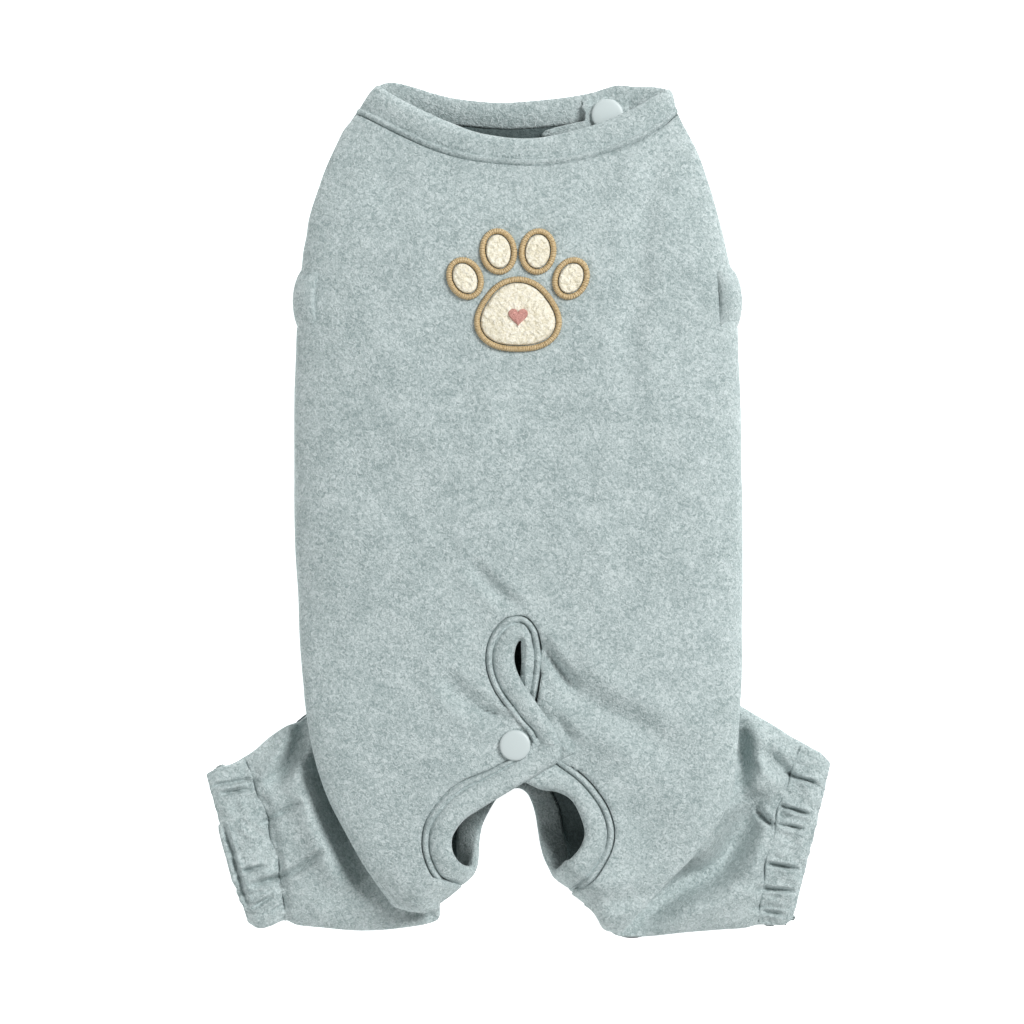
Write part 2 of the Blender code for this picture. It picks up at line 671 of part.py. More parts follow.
def tube_grid(table, height, shrink, turns, samples, gathers=0):
    """A flattened tube lying on the surface, between its top and bottom edges in plan."""
    rows = smooth_curve(table, samples)
    top = np.stack(place(rows[:, 0], rows[:, 1]), 1)
    bottom = np.stack(place(rows[:, 2], rows[:, 3]), 1)
    run = bottom - top
    length = np.linalg.norm(run, axis=1)
    direction = run / length[:, None]
    angle = 2 * np.pi * np.arange(turns) / turns
    ripple = GATHER_DEPTH * (np.cos(gathers * angle) - 1) / 2 if gathers else 0 * angle
    half = length[:, None] / 2 - shrink
    round_x = np.sign(np.cos(angle)) * np.abs(np.cos(angle)) ** 0.85
    round_z = np.sign(np.sin(angle)) * np.abs(np.sin(angle)) ** 0.8
    over = height * rows[:, 4][:, None] / 2
    plan = ((top + bottom) / 2)[:, None] + direction[:, None] * (half * round_x)[..., None]
    z = over + (over - shrink) * round_z + np.where(np.sin(angle) > 0.2, ripple, 0)
    return np.dstack([plan, z])


def build_tube(name, table, height, gathers=0, samples=9, turns=24):
    """A hollow leg or cuff with a wall of cloth."""
    outer = tube_grid(table, height, 0, turns, samples, gathers)
    inner = tube_grid(table, height, CLOTH, turns, samples, gathers)
    return add_object(name, wall_mesh(name, outer, inner, ring_u=True), FLEECE)


def lathe(name, profile, centre, colour, roughness, turns=16):
    """A turned solid from rows of radius and height."""
    data = bmesh.new()
    angle = 2 * np.pi * np.arange(turns) / turns
    loops = []
    for radius, height in profile:
        loops.append([
            data.verts.new((centre[0] + radius * np.cos(a), centre[1] + radius * np.sin(a),
                            centre[2] + height))
            for a in angle
        ])
    for low, high in zip(loops[:-1], loops[1:]):
        for i in range(turns):
            j = (i + 1) % turns
            data.faces.new((low[i], low[j], high[j], high[i]))
    data.faces.new(loops[0][::-1])
    data.faces.new(loops[-1])
    mesh = bpy.data.meshes.new(name)
    data.to_mesh(mesh)
    data.free()
    close_body(mesh)
    return add_object(name, mesh, colour, roughness)


def snap_profile(grip):
    """A snap's profile: the socket below, the post through the cloth, the cap above."""
    cap, post, socket = SNAP_DIAMETER / 2, SNAP_POST_DIAMETER / 2, SNAP_SOCKET_DIAMETER / 2
    return [
        (socket, -grip - SNAP_SOCKET_HEIGHT),
        (socket, -grip),
        (post, -grip),
        (post, 0),
        (0.97 * cap, 0),
        (cap, 0.35 * SNAP_CAP_HEIGHT),
        (0.86 * cap, 0.8 * SNAP_CAP_HEIGHT),
        (0.45 * cap, SNAP_CAP_HEIGHT),
    ]


def tail_snap_centre():
    """Where the tail snap goes through the back."""
    x, y = place(*TAIL_SNAP_PLACE)
    height = float(back_surface(np.array([x]), np.array([y]))[0])
    return x, y, height


def snap_cutter(name, across, along, high=2 * BODY_HEIGHT):
    """The small hole for a snap's post, up to a height."""
    x, y = place(across, along)
    radius = SNAP_POST_DIAMETER / 2 + CLEARANCE
    angle = 2 * np.pi * np.arange(12) / 12
    outline = np.stack([x + radius * np.cos(angle), y + radius * np.sin(angle)], 1)
    return prism(name, outline, -CLOTH, high)


def build_tail_underlap():
    """The under layer of the flap, which the tail snap holds to the upper one."""
    rows, cols = 5, 5
    along = np.linspace(UNDERLAP_ALONG[0], UNDERLAP_ALONG[1], rows)[:, None]
    across = np.linspace(UNDERLAP_ACROSS[0], UNDERLAP_ACROSS[1], cols)[None]
    lean = UNDERLAP_LEAN * (along - UNDERLAP_ALONG[0])
    x, y = place(across + lean, along + 0 * across)
    z = back_surface(x, y) - BAND_CLOTH - 3 * CLEARANCE
    outer = np.dstack([x, y, z])
    inner = outer - (0, 0, CLOTH)
    layer = add_object("tail_underlap", wall_mesh("tail_underlap", outer, inner), FLEECE)
    cut(layer, snap_cutter("underlap_snap_room", *TAIL_SNAP_PLACE))
    return layer


def build_neck_tab():
    """The lapped end of the band on its far side, under the neck snap."""
    rows, cols = 3, 6
    share = np.linspace(0, 1, rows)[:, None]
    across = np.linspace(NECK_TAB[0], NECK_TAB[1], cols)[None] + 0 * share
    rim, seam = column(FAR_RIM, 1, across[0]), column(FAR_SEAM, 1, across[0])
    along = rim * (1 - share) + seam * share
    x, y = place(across, along)
    z = NECK_TAB_HEIGHT + 0 * x
    outer = np.dstack([x, y, z])
    inner = outer - (0, 0, CLOTH)
    tab = add_object("neck_tab", wall_mesh("neck_tab", outer, inner), FLEECE)
    cut(tab, snap_cutter("tab_snap_room", *NECK_SNAP_PLACE))
    return tab


def build_snaps():
    """The tail snap, fastened through both layers of the flap, and the neck snap."""
    x, y, height = tail_snap_centre()
    lift = 4 * CLEARANCE
    grip = BAND_CLOTH + CLOTH + 4 * CLEARANCE + 2 * lift
    lathe("tail_snap", snap_profile(grip), (x, y, height + lift), SNAP_PLASTIC, 0.35)
    x, y = place(*NECK_SNAP_PLACE)
    cap = [row for row in snap_profile(0) if row[1] >= 0][1:]
    post = [(SNAP_POST_DIAMETER / 2, -CLOTH - BAND_CLOTH), (SNAP_POST_DIAMETER / 2, 0)]
    lathe("neck_snap", post + cap, (x, y, NECK_TAB_HEIGHT + CLEARANCE), SNAP_PLASTIC, 0.35)


def oval(centre, size, turn, samples, lobes=0.0):
    """A closed plan outline: an oval, or a rounded three-lobed pad."""
    angle = 2 * np.pi * np.arange(samples) / samples
    swell = 1 + lobes * np.cos(3 * (angle - np.pi / 2))
    x, y = size[0] * swell * np.cos(angle), size[1] * swell * np.sin(angle)
    ct, st = np.cos(turn), np.sin(turn)
    return np.stack([centre[0] + ct * x - st * y, centre[1] + st * x + ct * y], 1) * PATCH_WIDTH


def on_back(outline, lift):
    """Patch outline points laid on the back, lifted above it."""
    x0, y0 = place(PATCH_ACROSS, PATCH_ALONG)
    x, y = x0 + outline[:, 0], y0 + outline[:, 1]
    return np.column_stack([x, y, back_surface(x, y) + lift])


def plate(name, outline, low, high, colour, rings=3):
    """A plush shape on the back: a plan outline between two heights above the cloth."""
    centre = outline.mean(0)
    data = bmesh.new()
    layers = []
    for lift in (low, high):
        loops = []
        for ring in range(rings):
            share = 1 - ring / rings
            flat = centre + (outline - centre) * share
            loops.append([data.verts.new(p) for p in on_back(flat, lift)])
        tip = data.verts.new(on_back(centre[None], lift)[0])
        layers.append((loops, tip))
    count = len(outline)
    for loops, tip in layers:
        for big, small in zip(loops[:-1], loops[1:]):
            for i in range(count):
                j = (i + 1) % count
                data.faces.new((big[i], big[j], small[j], small[i]))
        for i in range(count):
            data.faces.new((loops[-1][i], loops[-1][(i + 1) % count], tip))
    for i in range(count):
        j = (i + 1) % count
        low_edge, high_edge = layers[0][0][0], layers[1][0][0]
        data.faces.new((low_edge[i], low_edge[j], high_edge[j], high_edge[i]))
    mesh = bpy.data.meshes.new(name)
    data.to_mesh(mesh)
    data.free()
    close_body(mesh)
    return add_object(name, mesh, colour)


def border(name, outline, low, high):
    """A raised stitched edge round a shape."""
    centre = outline.mean(0)
    away = outline - centre
    away /= np.linalg.norm(away, axis=1, keepdims=True)
    ins, outs = outline + away * CLEARANCE, outline + away * (CLEARANCE + BORDER_WIDTH)
    middle = (ins + outs) / 2
    loops = [on_back(ins, low), on_back(ins, high), on_back(middle, 1.25 * high),
             on_back(outs, high), on_back(outs, low)]
    ring = np.stack(loops)
    count = ring.shape[1]
    index = np.arange(5 * count).reshape(5, count)
    a = index
    b = np.roll(index, -1, 1)
    faces = np.stack([a, b, np.roll(b, -1, 0), np.roll(a, -1, 0)], 2).reshape(-1, 4)
    mesh = bpy.data.meshes.new(name)
    mesh.from_pydata(ring.reshape(-1, 3).tolist(), [], faces.tolist())
    close_body(mesh)
    return add_object(name, mesh, TAN)


def heart_outline(samples):
    """A small heart as a closed outline."""
    t = 2 * np.pi * np.arange(samples) / samples
    x = np.sin(t) ** 3
    y = (13 * np.cos(t) - 5 * np.cos(2 * t) - 2 * np.cos(3 * t) - np.cos(4 * t)) / 16
    return np.stack([PAD_CENTRE[0] + HEART_SIZE * x, PAD_CENTRE[1] + HEART_SIZE * y], 1) * PATCH_WIDTH


def build_patch():
    """The paw-print patch: a pad with a heart and four toes, each with a stitched edge."""
    low = CLEARANCE
    pad = oval(PAD_CENTRE, PAD_SIZE, 0, 24, 0.07)
    plate("patch_pad", pad, low, PATCH_THICKNESS, CREAM)
    border("patch_border_pad", pad, low, PATCH_THICKNESS)
    top = PATCH_THICKNESS + CLEARANCE
    plate("patch_heart", heart_outline(16), top, top + 0.5 * PATCH_THICKNESS, PINK, 2)
    for number, (cx, cy, half_w, half_h, turn) in enumerate(TOES, 1):
        outline = oval((cx, cy), (half_w, half_h), turn, 14)
        plate("patch_toe_%d" % number, outline, low, PATCH_THICKNESS, CREAM, 2)
        border("patch_border_toe_%d" % number, outline, low, PATCH_THICKNESS)


def build():
    """Clears the scene and builds every piece."""
    for item in list(bpy.data.objects):
        bpy.data.objects.remove(item, do_unlink=True)
    build_back_panel()
    build_belly_panel()
    build_neck_band()
    build_tail_binding()
    build_crotch_binding()
    for side in (-1, 1):
        build_arm_band(side)
    build_tube("hind_leg_left", LEFT_LEG, LEG_HEIGHT)
    build_tube("hind_leg_right", RIGHT_LEG, LEG_HEIGHT)
    build_tube("leg_cuff_left", LEFT_CUFF, CUFF_HEIGHT, CUFF_GATHERS, 3, 54)
    build_tube("leg_cuff_right", RIGHT_CUFF, CUFF_HEIGHT, CUFF_GATHERS, 3, 54)
    build_tail_underlap()
    build_neck_tab()
    build_snaps()
    build_patch()


build()
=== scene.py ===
"""A plush fleece jumpsuit for a small dog, laid flat with its back up, in a plain studio.

Laid out as an add-on and run as a script. Each operator makes one piece, or one group of like
pieces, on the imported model's frame: metres, +Z up, the neck towards +Y. Plan tables are in
millimetres, x and then y.
"""

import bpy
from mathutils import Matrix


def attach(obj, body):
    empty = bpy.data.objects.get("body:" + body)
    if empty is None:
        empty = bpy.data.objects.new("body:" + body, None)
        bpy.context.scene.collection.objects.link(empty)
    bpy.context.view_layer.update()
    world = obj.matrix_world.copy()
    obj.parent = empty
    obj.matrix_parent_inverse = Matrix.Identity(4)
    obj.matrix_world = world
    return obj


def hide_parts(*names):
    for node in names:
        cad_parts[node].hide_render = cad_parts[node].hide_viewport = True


bl_info = {
    "name": "Dog jumpsuit",
    "version": (1, 0, 0),
    "blender": (4, 5, 0),
    "location": "View3D > Sidebar > Jumpsuit",
    "description": "Makes a plush fleece dog jumpsuit over its packed frame, with a plain studio",
    "category": "Object",
}

import bpy
import numpy as np

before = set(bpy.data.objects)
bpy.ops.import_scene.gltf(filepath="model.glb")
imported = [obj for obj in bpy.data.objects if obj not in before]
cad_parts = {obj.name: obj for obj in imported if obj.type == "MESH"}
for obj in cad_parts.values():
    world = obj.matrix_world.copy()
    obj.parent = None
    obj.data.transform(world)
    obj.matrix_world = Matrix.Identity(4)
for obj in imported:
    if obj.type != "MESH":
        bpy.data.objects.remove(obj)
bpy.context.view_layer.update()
MM = 0.001

# y, left edge, right edge
BODY_SIDES = [
    (161.6, -64.2, 64.2), (156.4, -67, 66), (151.6, -70.6, 68.2), (145.6, -73.4, 71),
    (139.6, -76.2, 73.4), (133.6, -78.6, 75.4), (127.6, -80.6, 77.4), (121.6, -82.6, 79),
    (115.6, -84.2, 80.6), (109.6, -85, 82.2), (103.6, -86.2, 83.4), (97.6, -86.8, 84.8),
    (91.6, -87.4, 86.2), (83.6, -88, 87.2), (75.6, -88.6, 87.8), (67.6, -89, 88),
    (55.6, -89.4, 88.4), (43.6, -89.8, 89), (13.6, -89.8, 89.4), (1.6, -89.8, 89.8),
    (-16.4, -89.4, 89.8), (-34.4, -88.2, 89.8), (-46.4, -87.8, 89.4), (-58.4, -87, 89.4),
    (-70.4, -85.8, 89), (-78.4, -85, 88.4), (-93.2, -82.6, 87.4), (-104.4, -79.8, 86.2),
    (-116.4, -75.4, 83.8), (-128.8, -69, 77.4), (-139.6, -63, 68.6), (-148.8, -57, 59.4),
    (-158.4, -50.2, 50.2), (-168.4, -43.8, 41.8),
]
# y, height of the back, of the side's widest line, of the under edge
BODY_HEIGHTS = [
    (163.6, 13.6, 5.6, 0), (147.6, 16.6, 7, 0), (130.4, 20.5, 8.4, 0), (113.6, 24.6, 10.2, 0),
    (89.2, 28.4, 12, 0), (27.6, 31.9, 13.2, 0), (-34.4, 33, 13.8, 0), (-52.4, 33.4, 17, 5),
    (-68.8, 33.8, 20.4, 12.4), (-96.4, 34.1, 24, 17.7), (-171.6, 32.6, 24, 17.7),
]
# the neck's sewn line and then its rim, each on the back and on the far side
NECK_SEAM = [
    (-65.6, 158.4), (-61.8, 156.8), (-47.16, 149.2), (-32.6, 142.8), (-17, 138.8), (6.2, 137),
    (25.4, 139.4), (45, 145.6), (57.4, 152.8), (64.2, 158.4),
]
FAR_SEAM = [
    (-65.6, 158.4), (-55.4, 156.6), (-29.8, 155.2), (-3.4, 153.2), (23.4, 155.2), (52.6, 157.4),
    (64.2, 158.4),
]
NECK_RIM = [
    (-56.6, 170.2), (-51, 166.4), (-39.4, 160.4), (-27.8, 155.2), (-13.4, 150.4), (6.2, 148.8),
    (28.6, 153.6), (45, 160.2), (54.2, 165.2), (60.6, 168.6),
]
FAR_RIM = [
    (-56.6, 170.2), (-52.6, 171.6), (-48.6, 171.4), (-40.6, 169.4), (-34.2, 167.4), (-25.4, 165.4),
    (-13.4, 164), (-3.4, 163.8), (15.4, 165.4), (28.2, 167.4), (35, 169.4), (40.2, 170.6),
    (47, 170), (55, 169.8), (60.6, 168.6),
]
# the back's rear edge, cut away between the legs
REAR_EDGE = [
    (-50.2, -158.4), (-45.8, -159.8), (-39.4, -160.8), (-31, -160), (-1.4, -154.4), (25.8, -158),
    (34.2, -167.6), (41.8, -168.4),
]
# rim, then seam, then lift above the cloth round it
TAIL_EDGE = [
    (2.2, -77.2, 7, -78, -1.6), (1, -71.2, 8.2, -71.6, -1.2), (0.8, -65.2, 9.2, -64.8, -0.8),
    (1.2, -59.2, 9.6, -58.8, -0.5), (1.2, -54.8, 9, -53.2, -0.3), (1, -52.8, 7, -46.8, -0.1),
    (0.8, -52.2, 2.2, -42.2, 0), (-0.2, -53, -4.2, -42.8, 0), (-1.2, -55.2, -9.4, -47.2, 0.1),
    (-1.64, -58.4, -12.2, -52.4, 0.2), (-1.2, -62, -13.24, -58.4, 0.3),
    (0.2, -66, -12.6, -64.8, 0.4), (3, -70.8, -9.8, -72, 0.5), (6.6, -76, -5.2, -78.8, 0.6),
    (10.2, -81.2, -1, -84.4, 0.6), (13.8, -86.4, 3, -88.8, 0.6), (16.6, -93.4, 5, -93.2, 0.35),
]
# rim, then seam, then the rim's and the seam's shares of the back's height
CROTCH_EDGE = [
    (17, -92.8, 5, -92.6, 1, 1), (16.6, -99.2, 1, -96, 1, 1), (11, -103.2, -4.2, -99.2, 1, 1),
    (-0.2, -110, -12.6, -103.6, 1, 1), (-15.4, -119.2, -22.2, -107.6, 1, 1),
    (-22.2, -124, -29.96, -113.6, 1, 1), (-26.2, -130, -37, -123.6, 1, 1),
    (-26.2, -135.6, -38.6, -133.2, 1, 1), (-24.2, -139.6, -37, -140.8, 0.98, 0.98),
    (-21.4, -142.2, -33.8, -146.8, 0.93, 0.95), (-18.6, -143.6, -28.6, -151.6, 0.84, 0.8),
    (-17, -142.8, -25, -152.4, 0.7, 0.5), (-16.2, -138.8, -22.6, -147.6, 0.5, 0.25),
    (-15.6, -134.4, -23.4, -139.6, 0.36, 0.14), (-14.8, -129.6, -23.8, -130, 0.26, 0.08),
    (-13, -124.4, -21.8, -120.4, 0.18, 0.05), (-8.6, -116.8, -14.6, -110, 0.12, 0.04),
    (-4.6, -113.6, -7.4, -106, 0.09, 0.03), (-0.4, -112.6, -0.2, -104.4, 0.08, 0.03),
    (2.2, -113.6, 6.6, -106.8, 0.08, 0.03), (4.2, -116, 11, -111.2, 0.09, 0.03),
    (6.2, -121.6, 15.4, -119.6, 0.13, 0.04), (7.4, -128.8, 17, -129.2, 0.22, 0.06),
    (8.6, -135.2, 18.2, -136.4, 0.34, 0.12), (10.6, -141.2, 19.4, -143.6, 0.52, 0.25),
    (13.4, -144.8, 21.4, -151.6, 0.72, 0.5), (15.8, -142.8, 23.4, -153.6, 0.86, 0.8),
    (17.8, -140.4, 27.4, -150.4, 0.93, 0.95), (21, -138.4, 33, -143.6, 0.98, 0.98),
    (24.8, -133.6, 37.4, -135.2, 1, 1), (26.2, -128, 38.4, -127.2, 1, 1),
    (24.2, -121.2, 35.8, -118.4, 1, 1), (20.6, -115.2, 30.2, -110, 1, 1),
    (15, -112.2, 24.6, -104.4, 1, 1), (9, -111.4, 18.6, -100, 0.985, 0.985),
    (3.8, -109.2, 13.4, -96.4, 0.97, 0.97), (-0.6, -107.6, 8.2, -94.4, 0.955, 0.955),
]
# the flap's free edge, which laps over the right half of the back
LAP_EDGE = [
    (6.6, -75.2), (10.2, -80.8), (13.8, -86), (16.2, -90.8), (17.4, -95.6), (15.4, -100),
    (11, -103.2), (7, -106.4), (-0.2, -110),
]
# how far the flap's under layer lies lower, and over what run the drop comes
LAP_DROP, LAP_START, LAP_RUN = 2.6, 7.5, 4.0
# path, width and depth of each fold of the back, then of each leg below
BODY_FOLDS = [
    ([(9, -52.4), (11.8, -58), (15.8, -63.6), (21.4, -70.8)], 2.2, 3.6),
    ([(15, -61.2), (22.6, -72.4), (32.6, -79.2), (44.6, -85.2), (56.6, -92.8)], 5.5, 3.5),
    ([(-18.6, -22.4), (-11.4, -30.4), (-5.4, -35.6), (0.2, -39.6)], 2.6, 2.0),
    ([(-29, -67.6), (-22.6, -74), (-13.8, -80), (-8.2, -81.2)], 3.6, 2.7),
    ([(-16.2, -78.8), (-10.6, -80.8), (-4.2, -82.8)], 1.1, 2.0),
    ([(15, -82.8), (19, -88.4), (23, -93.2)], 2.0, 1.9),
    ([(58.2, 143.6), (51.8, 121.6), (48.6, 99.6), (45.4, 75.6), (43, 49.6)], 5.0, 1.5),
    ([(-53.4, 133.6), (-48.2, 117.6)], 9.0, 1.2),
    ([(-15.4, -114.4), (-19.4, -121.2)], 2.0, 0.4),
    ([(16.6, -155.6), (40.6, -156), (51.8, -153.6)], 4.0, 3.0),
    ([(48.6, -116.4), (54.6, -136.4), (48.6, -148.4)], 9.0, 1.8),
    ([(56.6, -94.4), (68.6, -100.4)], 8.0, 1.4),
]
# edges where the back rolls down: path, width and low height
BODY_ROLLS = [
    ([(-56.2, -157.2), (-50.2, -160), (-40.2, -162.4), (-30.2, -161.6)], 15.0, 17.6),
    ([(23.8, -158.4), (32.6, -168.4), (41.8, -170)], 13.0, 17.6),
    ([(-30.2, -158.4), (-22.6, -151.6), (-17, -145.2)], 12.0, 13.0),
    ([(10.2, -143.6), (16.6, -151.6), (23.8, -158.4)], 12.0, 13.0),
]
# top edge, bottom edge, height: the leg and then its cuff
LEFT_LEG = [
    (-68.24, -65.2, -31.4, -158.4, 17), (-79, -76, -33, -165.2, 17),
    (-87, -84.4, -47.4, -168.2, 17), (-93.4, -87.2, -63.4, -169.2, 17),
    (-100.2, -91.8, -78.6, -168, 16.4), (-105.4, -96.4, -88.6, -167, 15.4),
    (-110.2, -99.6, -93.8, -165.2, 13.4), (-115, -102.2, -99.4, -167.4, 14.6),
    (-120.6, -103.8, -104.2, -168.4, 14.6), (-124.8, -106, -108.2, -166.4, 12.6),
]
RIGHT_LEG = [
    (68.2, -65.2, 34.6, -159.6, 17), (79, -72.4, 37.4, -170, 17), (89, -78.8, 48.6, -171.6, 17),
    (96.6, -83.4, 65.8, -170, 17), (103.8, -87.6, 81.4, -168.8, 16.4),
    (109, -91, 90.6, -168.2, 15.4), (113.8, -93.6, 96.2, -167, 13.4),
    (117.6, -95.8, 101.8, -167, 14.6), (121.8, -98.2, 106.6, -167, 14.6),
    (125, -101.6, 109.8, -164.8, 12.6),
]
# the row of both leg tables where the cuff is sewn on
CUFF_SEAM_ROW = 6
# how far the elastic bows the cuff's seam towards the leg
SEAM_BOW = 3.4
LEFT_LEG_FOLDS = [
    ([(-80.6, -96.4), (-76.2, -110.4), (-70.2, -127.6), (-61, -147.6)], 5.5, 11),
    ([(-85, -84), (-88.2, -93.6), (-93, -102.8), (-97.8, -108.4)], 3, 8),
    ([(-117.8, -127.6), (-115, -136.4), (-112.6, -145.2), (-108.6, -158.4)], 0.9, 2.5),
    ([(-87.6, -117.6), (-95, -121.6), (-102.2, -126)], 1.1, 3.9),
    ([(-78.32, -136.8), (-91.6, -146), (-106.2, -150.4)], 1.2, 4.5),
    ([(-108.6, -108.4), (-121.4, -110.8)], 0.8, 2.5),
    ([(-108.2, -112.2), (-118.2, -114)], 0.8, 2.5),
    ([(-101.56, -142.8), (-111, -145.2)], 0.8, 2.8),
    ([(-99, -155.2), (-105.52, -159.2)], 0.8, 2.5),
    ([(-87.4, -104.4), (-91.4, -112.4)], 5, 1.4),
    ([(-75.4, -148.4), (-69.4, -158.4)], 6, 1.5),
    ([(-44.2, -162), (-37.8, -161.6), (-32.6, -164.4)], 2.2, 2.6),
]
RIGHT_LEG_FOLDS = [
    ([(87.8, -88.4), (89.4, -101.2), (87.8, -112.4)], 4.2, 9),
    ([(98.2, -96.4), (103, -102), (109, -107.2)], 2.6, 3.8),
    ([(93.4, -119.6), (87.4, -133.2), (78.2, -145.2), (63, -152.4), (45.4, -166)], 6, 14),
    ([(95.6, -120), (98.2, -123.6), (102.2, -127.6)], 1.2, 4.2),
    ([(109, -106.8), (118.6, -109.6)], 0.8, 2.4),
    ([(105.4, -118.8), (116.2, -122.2)], 0.8, 3.1),
    ([(103, -126), (113.4, -128)], 0.8, 2.9),
    ([(100.2, -142), (111.4, -144)], 0.8, 2.9),
    ([(99, -152), (109.4, -152.8)], 0.8, 2.4),
    ([(98.2, -161.2), (105, -162.4)], 0.8, 2.1),
    ([(100.6, -116.4), (92.6, -121.2)], 4, 1.4),
    ([(96.6, -148.4), (86.6, -150.8)], 3, 1.2),
]

# depth of the cuff's gathers above and below, and of its seam
GATHER, GATHER_BELOW, SEAM_DEPTH = 2.2, 0.8, 1.5
# thickness of one layer
CLOTH = 2.0
# the back's grid: length and width before its hem, and rows of corners that turn under
BACK_LENGTH, BACK_WIDTH, HEM_TURNS = 322, 190, 9
# the back is cut only above this height, so its hem stays whole
CUT_LOW = 8
# how wide the hem turns under, from y to y, and how far it drops at least
HEM_Y, HEM_WIDTH, HEM_DROP = (-162.0, -131.0), (3.0, 15.6), 2.4
# a front-leg hole: its y, half width and half length, and what its band adds to both
ARM_Y, ARM_HOLE, ARM_BAND = 82.9, (11.0, 15.5), 0.3
# how far the belly panel stays inside the back's outline, and clear of the legs' mouths
BELLY_INSET, MOUTH_GAP = 16.4, 0.7
# neck heights: seam at the corners and far side, rim at the corners, near and far side
SEAM_CORNER, SEAM_FAR = 5.8, 0.4
RIM_CORNER, RIM_NEAR, RIM_FAR = 8.4, 14.0, 2.2
# the snaps' caps; the neck's has its own height
TAIL_SNAP = (-1.4, -93.6)
NECK_SNAP = (35.8, 158, 8.2)
PATCH_CENTRE = (-0.2, 84.6)
# toes, as shares of the patch's width: centre across and along, half width, half height, then
# the turn in radians
TOES = [
    (-0.390, 0.130, 0.085, 0.115, 0.45), (-0.145, 0.330, 0.090, 0.125, 0.12),
    (0.145, 0.330, 0.090, 0.125, -0.12), (0.390, 0.130, 0.085, 0.115, -0.45),
]
# heights of the patch's plush and of its heart, and the radius and rise of its satin edge
PLUSH_RISE, HEART_RISE, SATIN, SATIN_RISE = 1.9, 2.9, 1.15, 1.75
# metres: the width of floor that the picture shows, and the cloth's height for it
VIEW_WIDTH, VIEW_LEVEL = 0.4096, 0.015


def settings():
    """The sizes and colours that the panel shows."""
    return bpy.context.scene.jumpsuit


def smooth(points, count, even=True):
    """A curve of cubic spans through the points, each span bent by its two neighbours.

    It is read at even lengths in plan, or at even steps of the point number.
    """
    p = np.asarray(points, float)
    padded = np.vstack([2 * p[0] - p[1], p, 2 * p[-1] - p[-2]])
    spans = len(p) - 1
    t = np.linspace(0, spans, spans * 24 + 1) if even else np.linspace(0, spans, count)
    i = np.minimum(t.astype(int), spans - 1)
    f = (t - i)[:, None]
    p0, p1, p2, p3 = padded[i], padded[i + 1], padded[i + 2], padded[i + 3]
    cubic = 3 * (p1 - p2) + p3 - p0
    curve = p1 + 0.5 * f * (p2 - p0 + f * (2 * p0 - 5 * p1 + 4 * p2 - p3 + f * cubic))
    if not even:
        return curve
    length = np.concatenate([[0], np.cumsum(np.hypot(*np.diff(curve[:, :2], axis=0).T))])
    at = np.linspace(0, length[-1], count)
    return np.stack([np.interp(at, length, column) for column in curve.T], 1)


def read(table, key, at):
    """A table's column as a smooth function of its first column."""
    dense = smooth(table, 30 * len(table), even=False)
    order = np.argsort(dense[:, 0])
    return np.interp(at, dense[order, 0], dense[order, key])


def path_distance(x, y, path):
    """The distance in plan to a path, positive on its left side, and the share along it."""
    best = np.full(np.shape(x), 1e9)
    side = np.zeros(np.shape(x))
    share = np.zeros(np.shape(x))
    for number, ((ax, ay), (bx, by)) in enumerate(zip(path[:-1], path[1:])):
        dx, dy = bx - ax, by - ay
        t = np.clip(((x - ax) * dx + (y - ay) * dy) / (dx * dx + dy * dy), 0, 1)
        away = np.hypot(x - ax - t * dx, y - ay - t * dy)
        near = away < best
        side = np.where(near, np.sign(dx * (y - ay) - dy * (x - ax)), side)
        share = np.where(near, (number + t) / (len(path) - 1), share)
        best = np.where(near, away, best)
    return best * np.where(side == 0, 1, side), share


def inside(x, y, outline):
    """Whether each point is inside a closed outline, by counting the edges to its right."""
    odd = np.zeros(np.shape(x), bool)
    for (ax, ay), (bx, by) in zip(outline, np.roll(outline, -1, 0)):
        if ay == by:
            continue
        cross = ax + (y - ay) * (bx - ax) / (by - ay)
        odd ^= ((ay > y) != (by > y)) & (x < cross)
    return odd


def waves(x, y, size, seed):
    """Even, smooth unevenness: 20 sines of about one size, each in its own direction."""
    count = 20
    rng = np.random.default_rng(seed)
    angle = rng.uniform(0, 2 * np.pi, count)
    pitch = 2 * np.pi / (size * rng.uniform(0.7, 1.5, count))
    start = rng.uniform(0, 2 * np.pi, count)
    total = np.zeros(np.shape(x))
    for a, k, s in zip(angle, pitch, start):
        total = total + np.sin(k * (x * np.cos(a) + y * np.sin(a)) + s)
    return total / np.sqrt(count)


def fold_depth(x, y, folds):
    """The depth of all folds: rounded valleys that fade at their ends, with low lips beside."""
    total = np.zeros(np.shape(x))
    for path, width, depth in folds:
        away, share = path_distance(x, y, smooth(path, 14))
        away = np.abs(away) / width
        fade = 0.35 + 0.65 * np.sin(np.pi * share) ** 0.5
        section = np.exp(-away ** 2) - 0.30 * np.exp(-(away - 2.0) ** 2 / 0.8)
        total = total + depth * fade * section
    return total


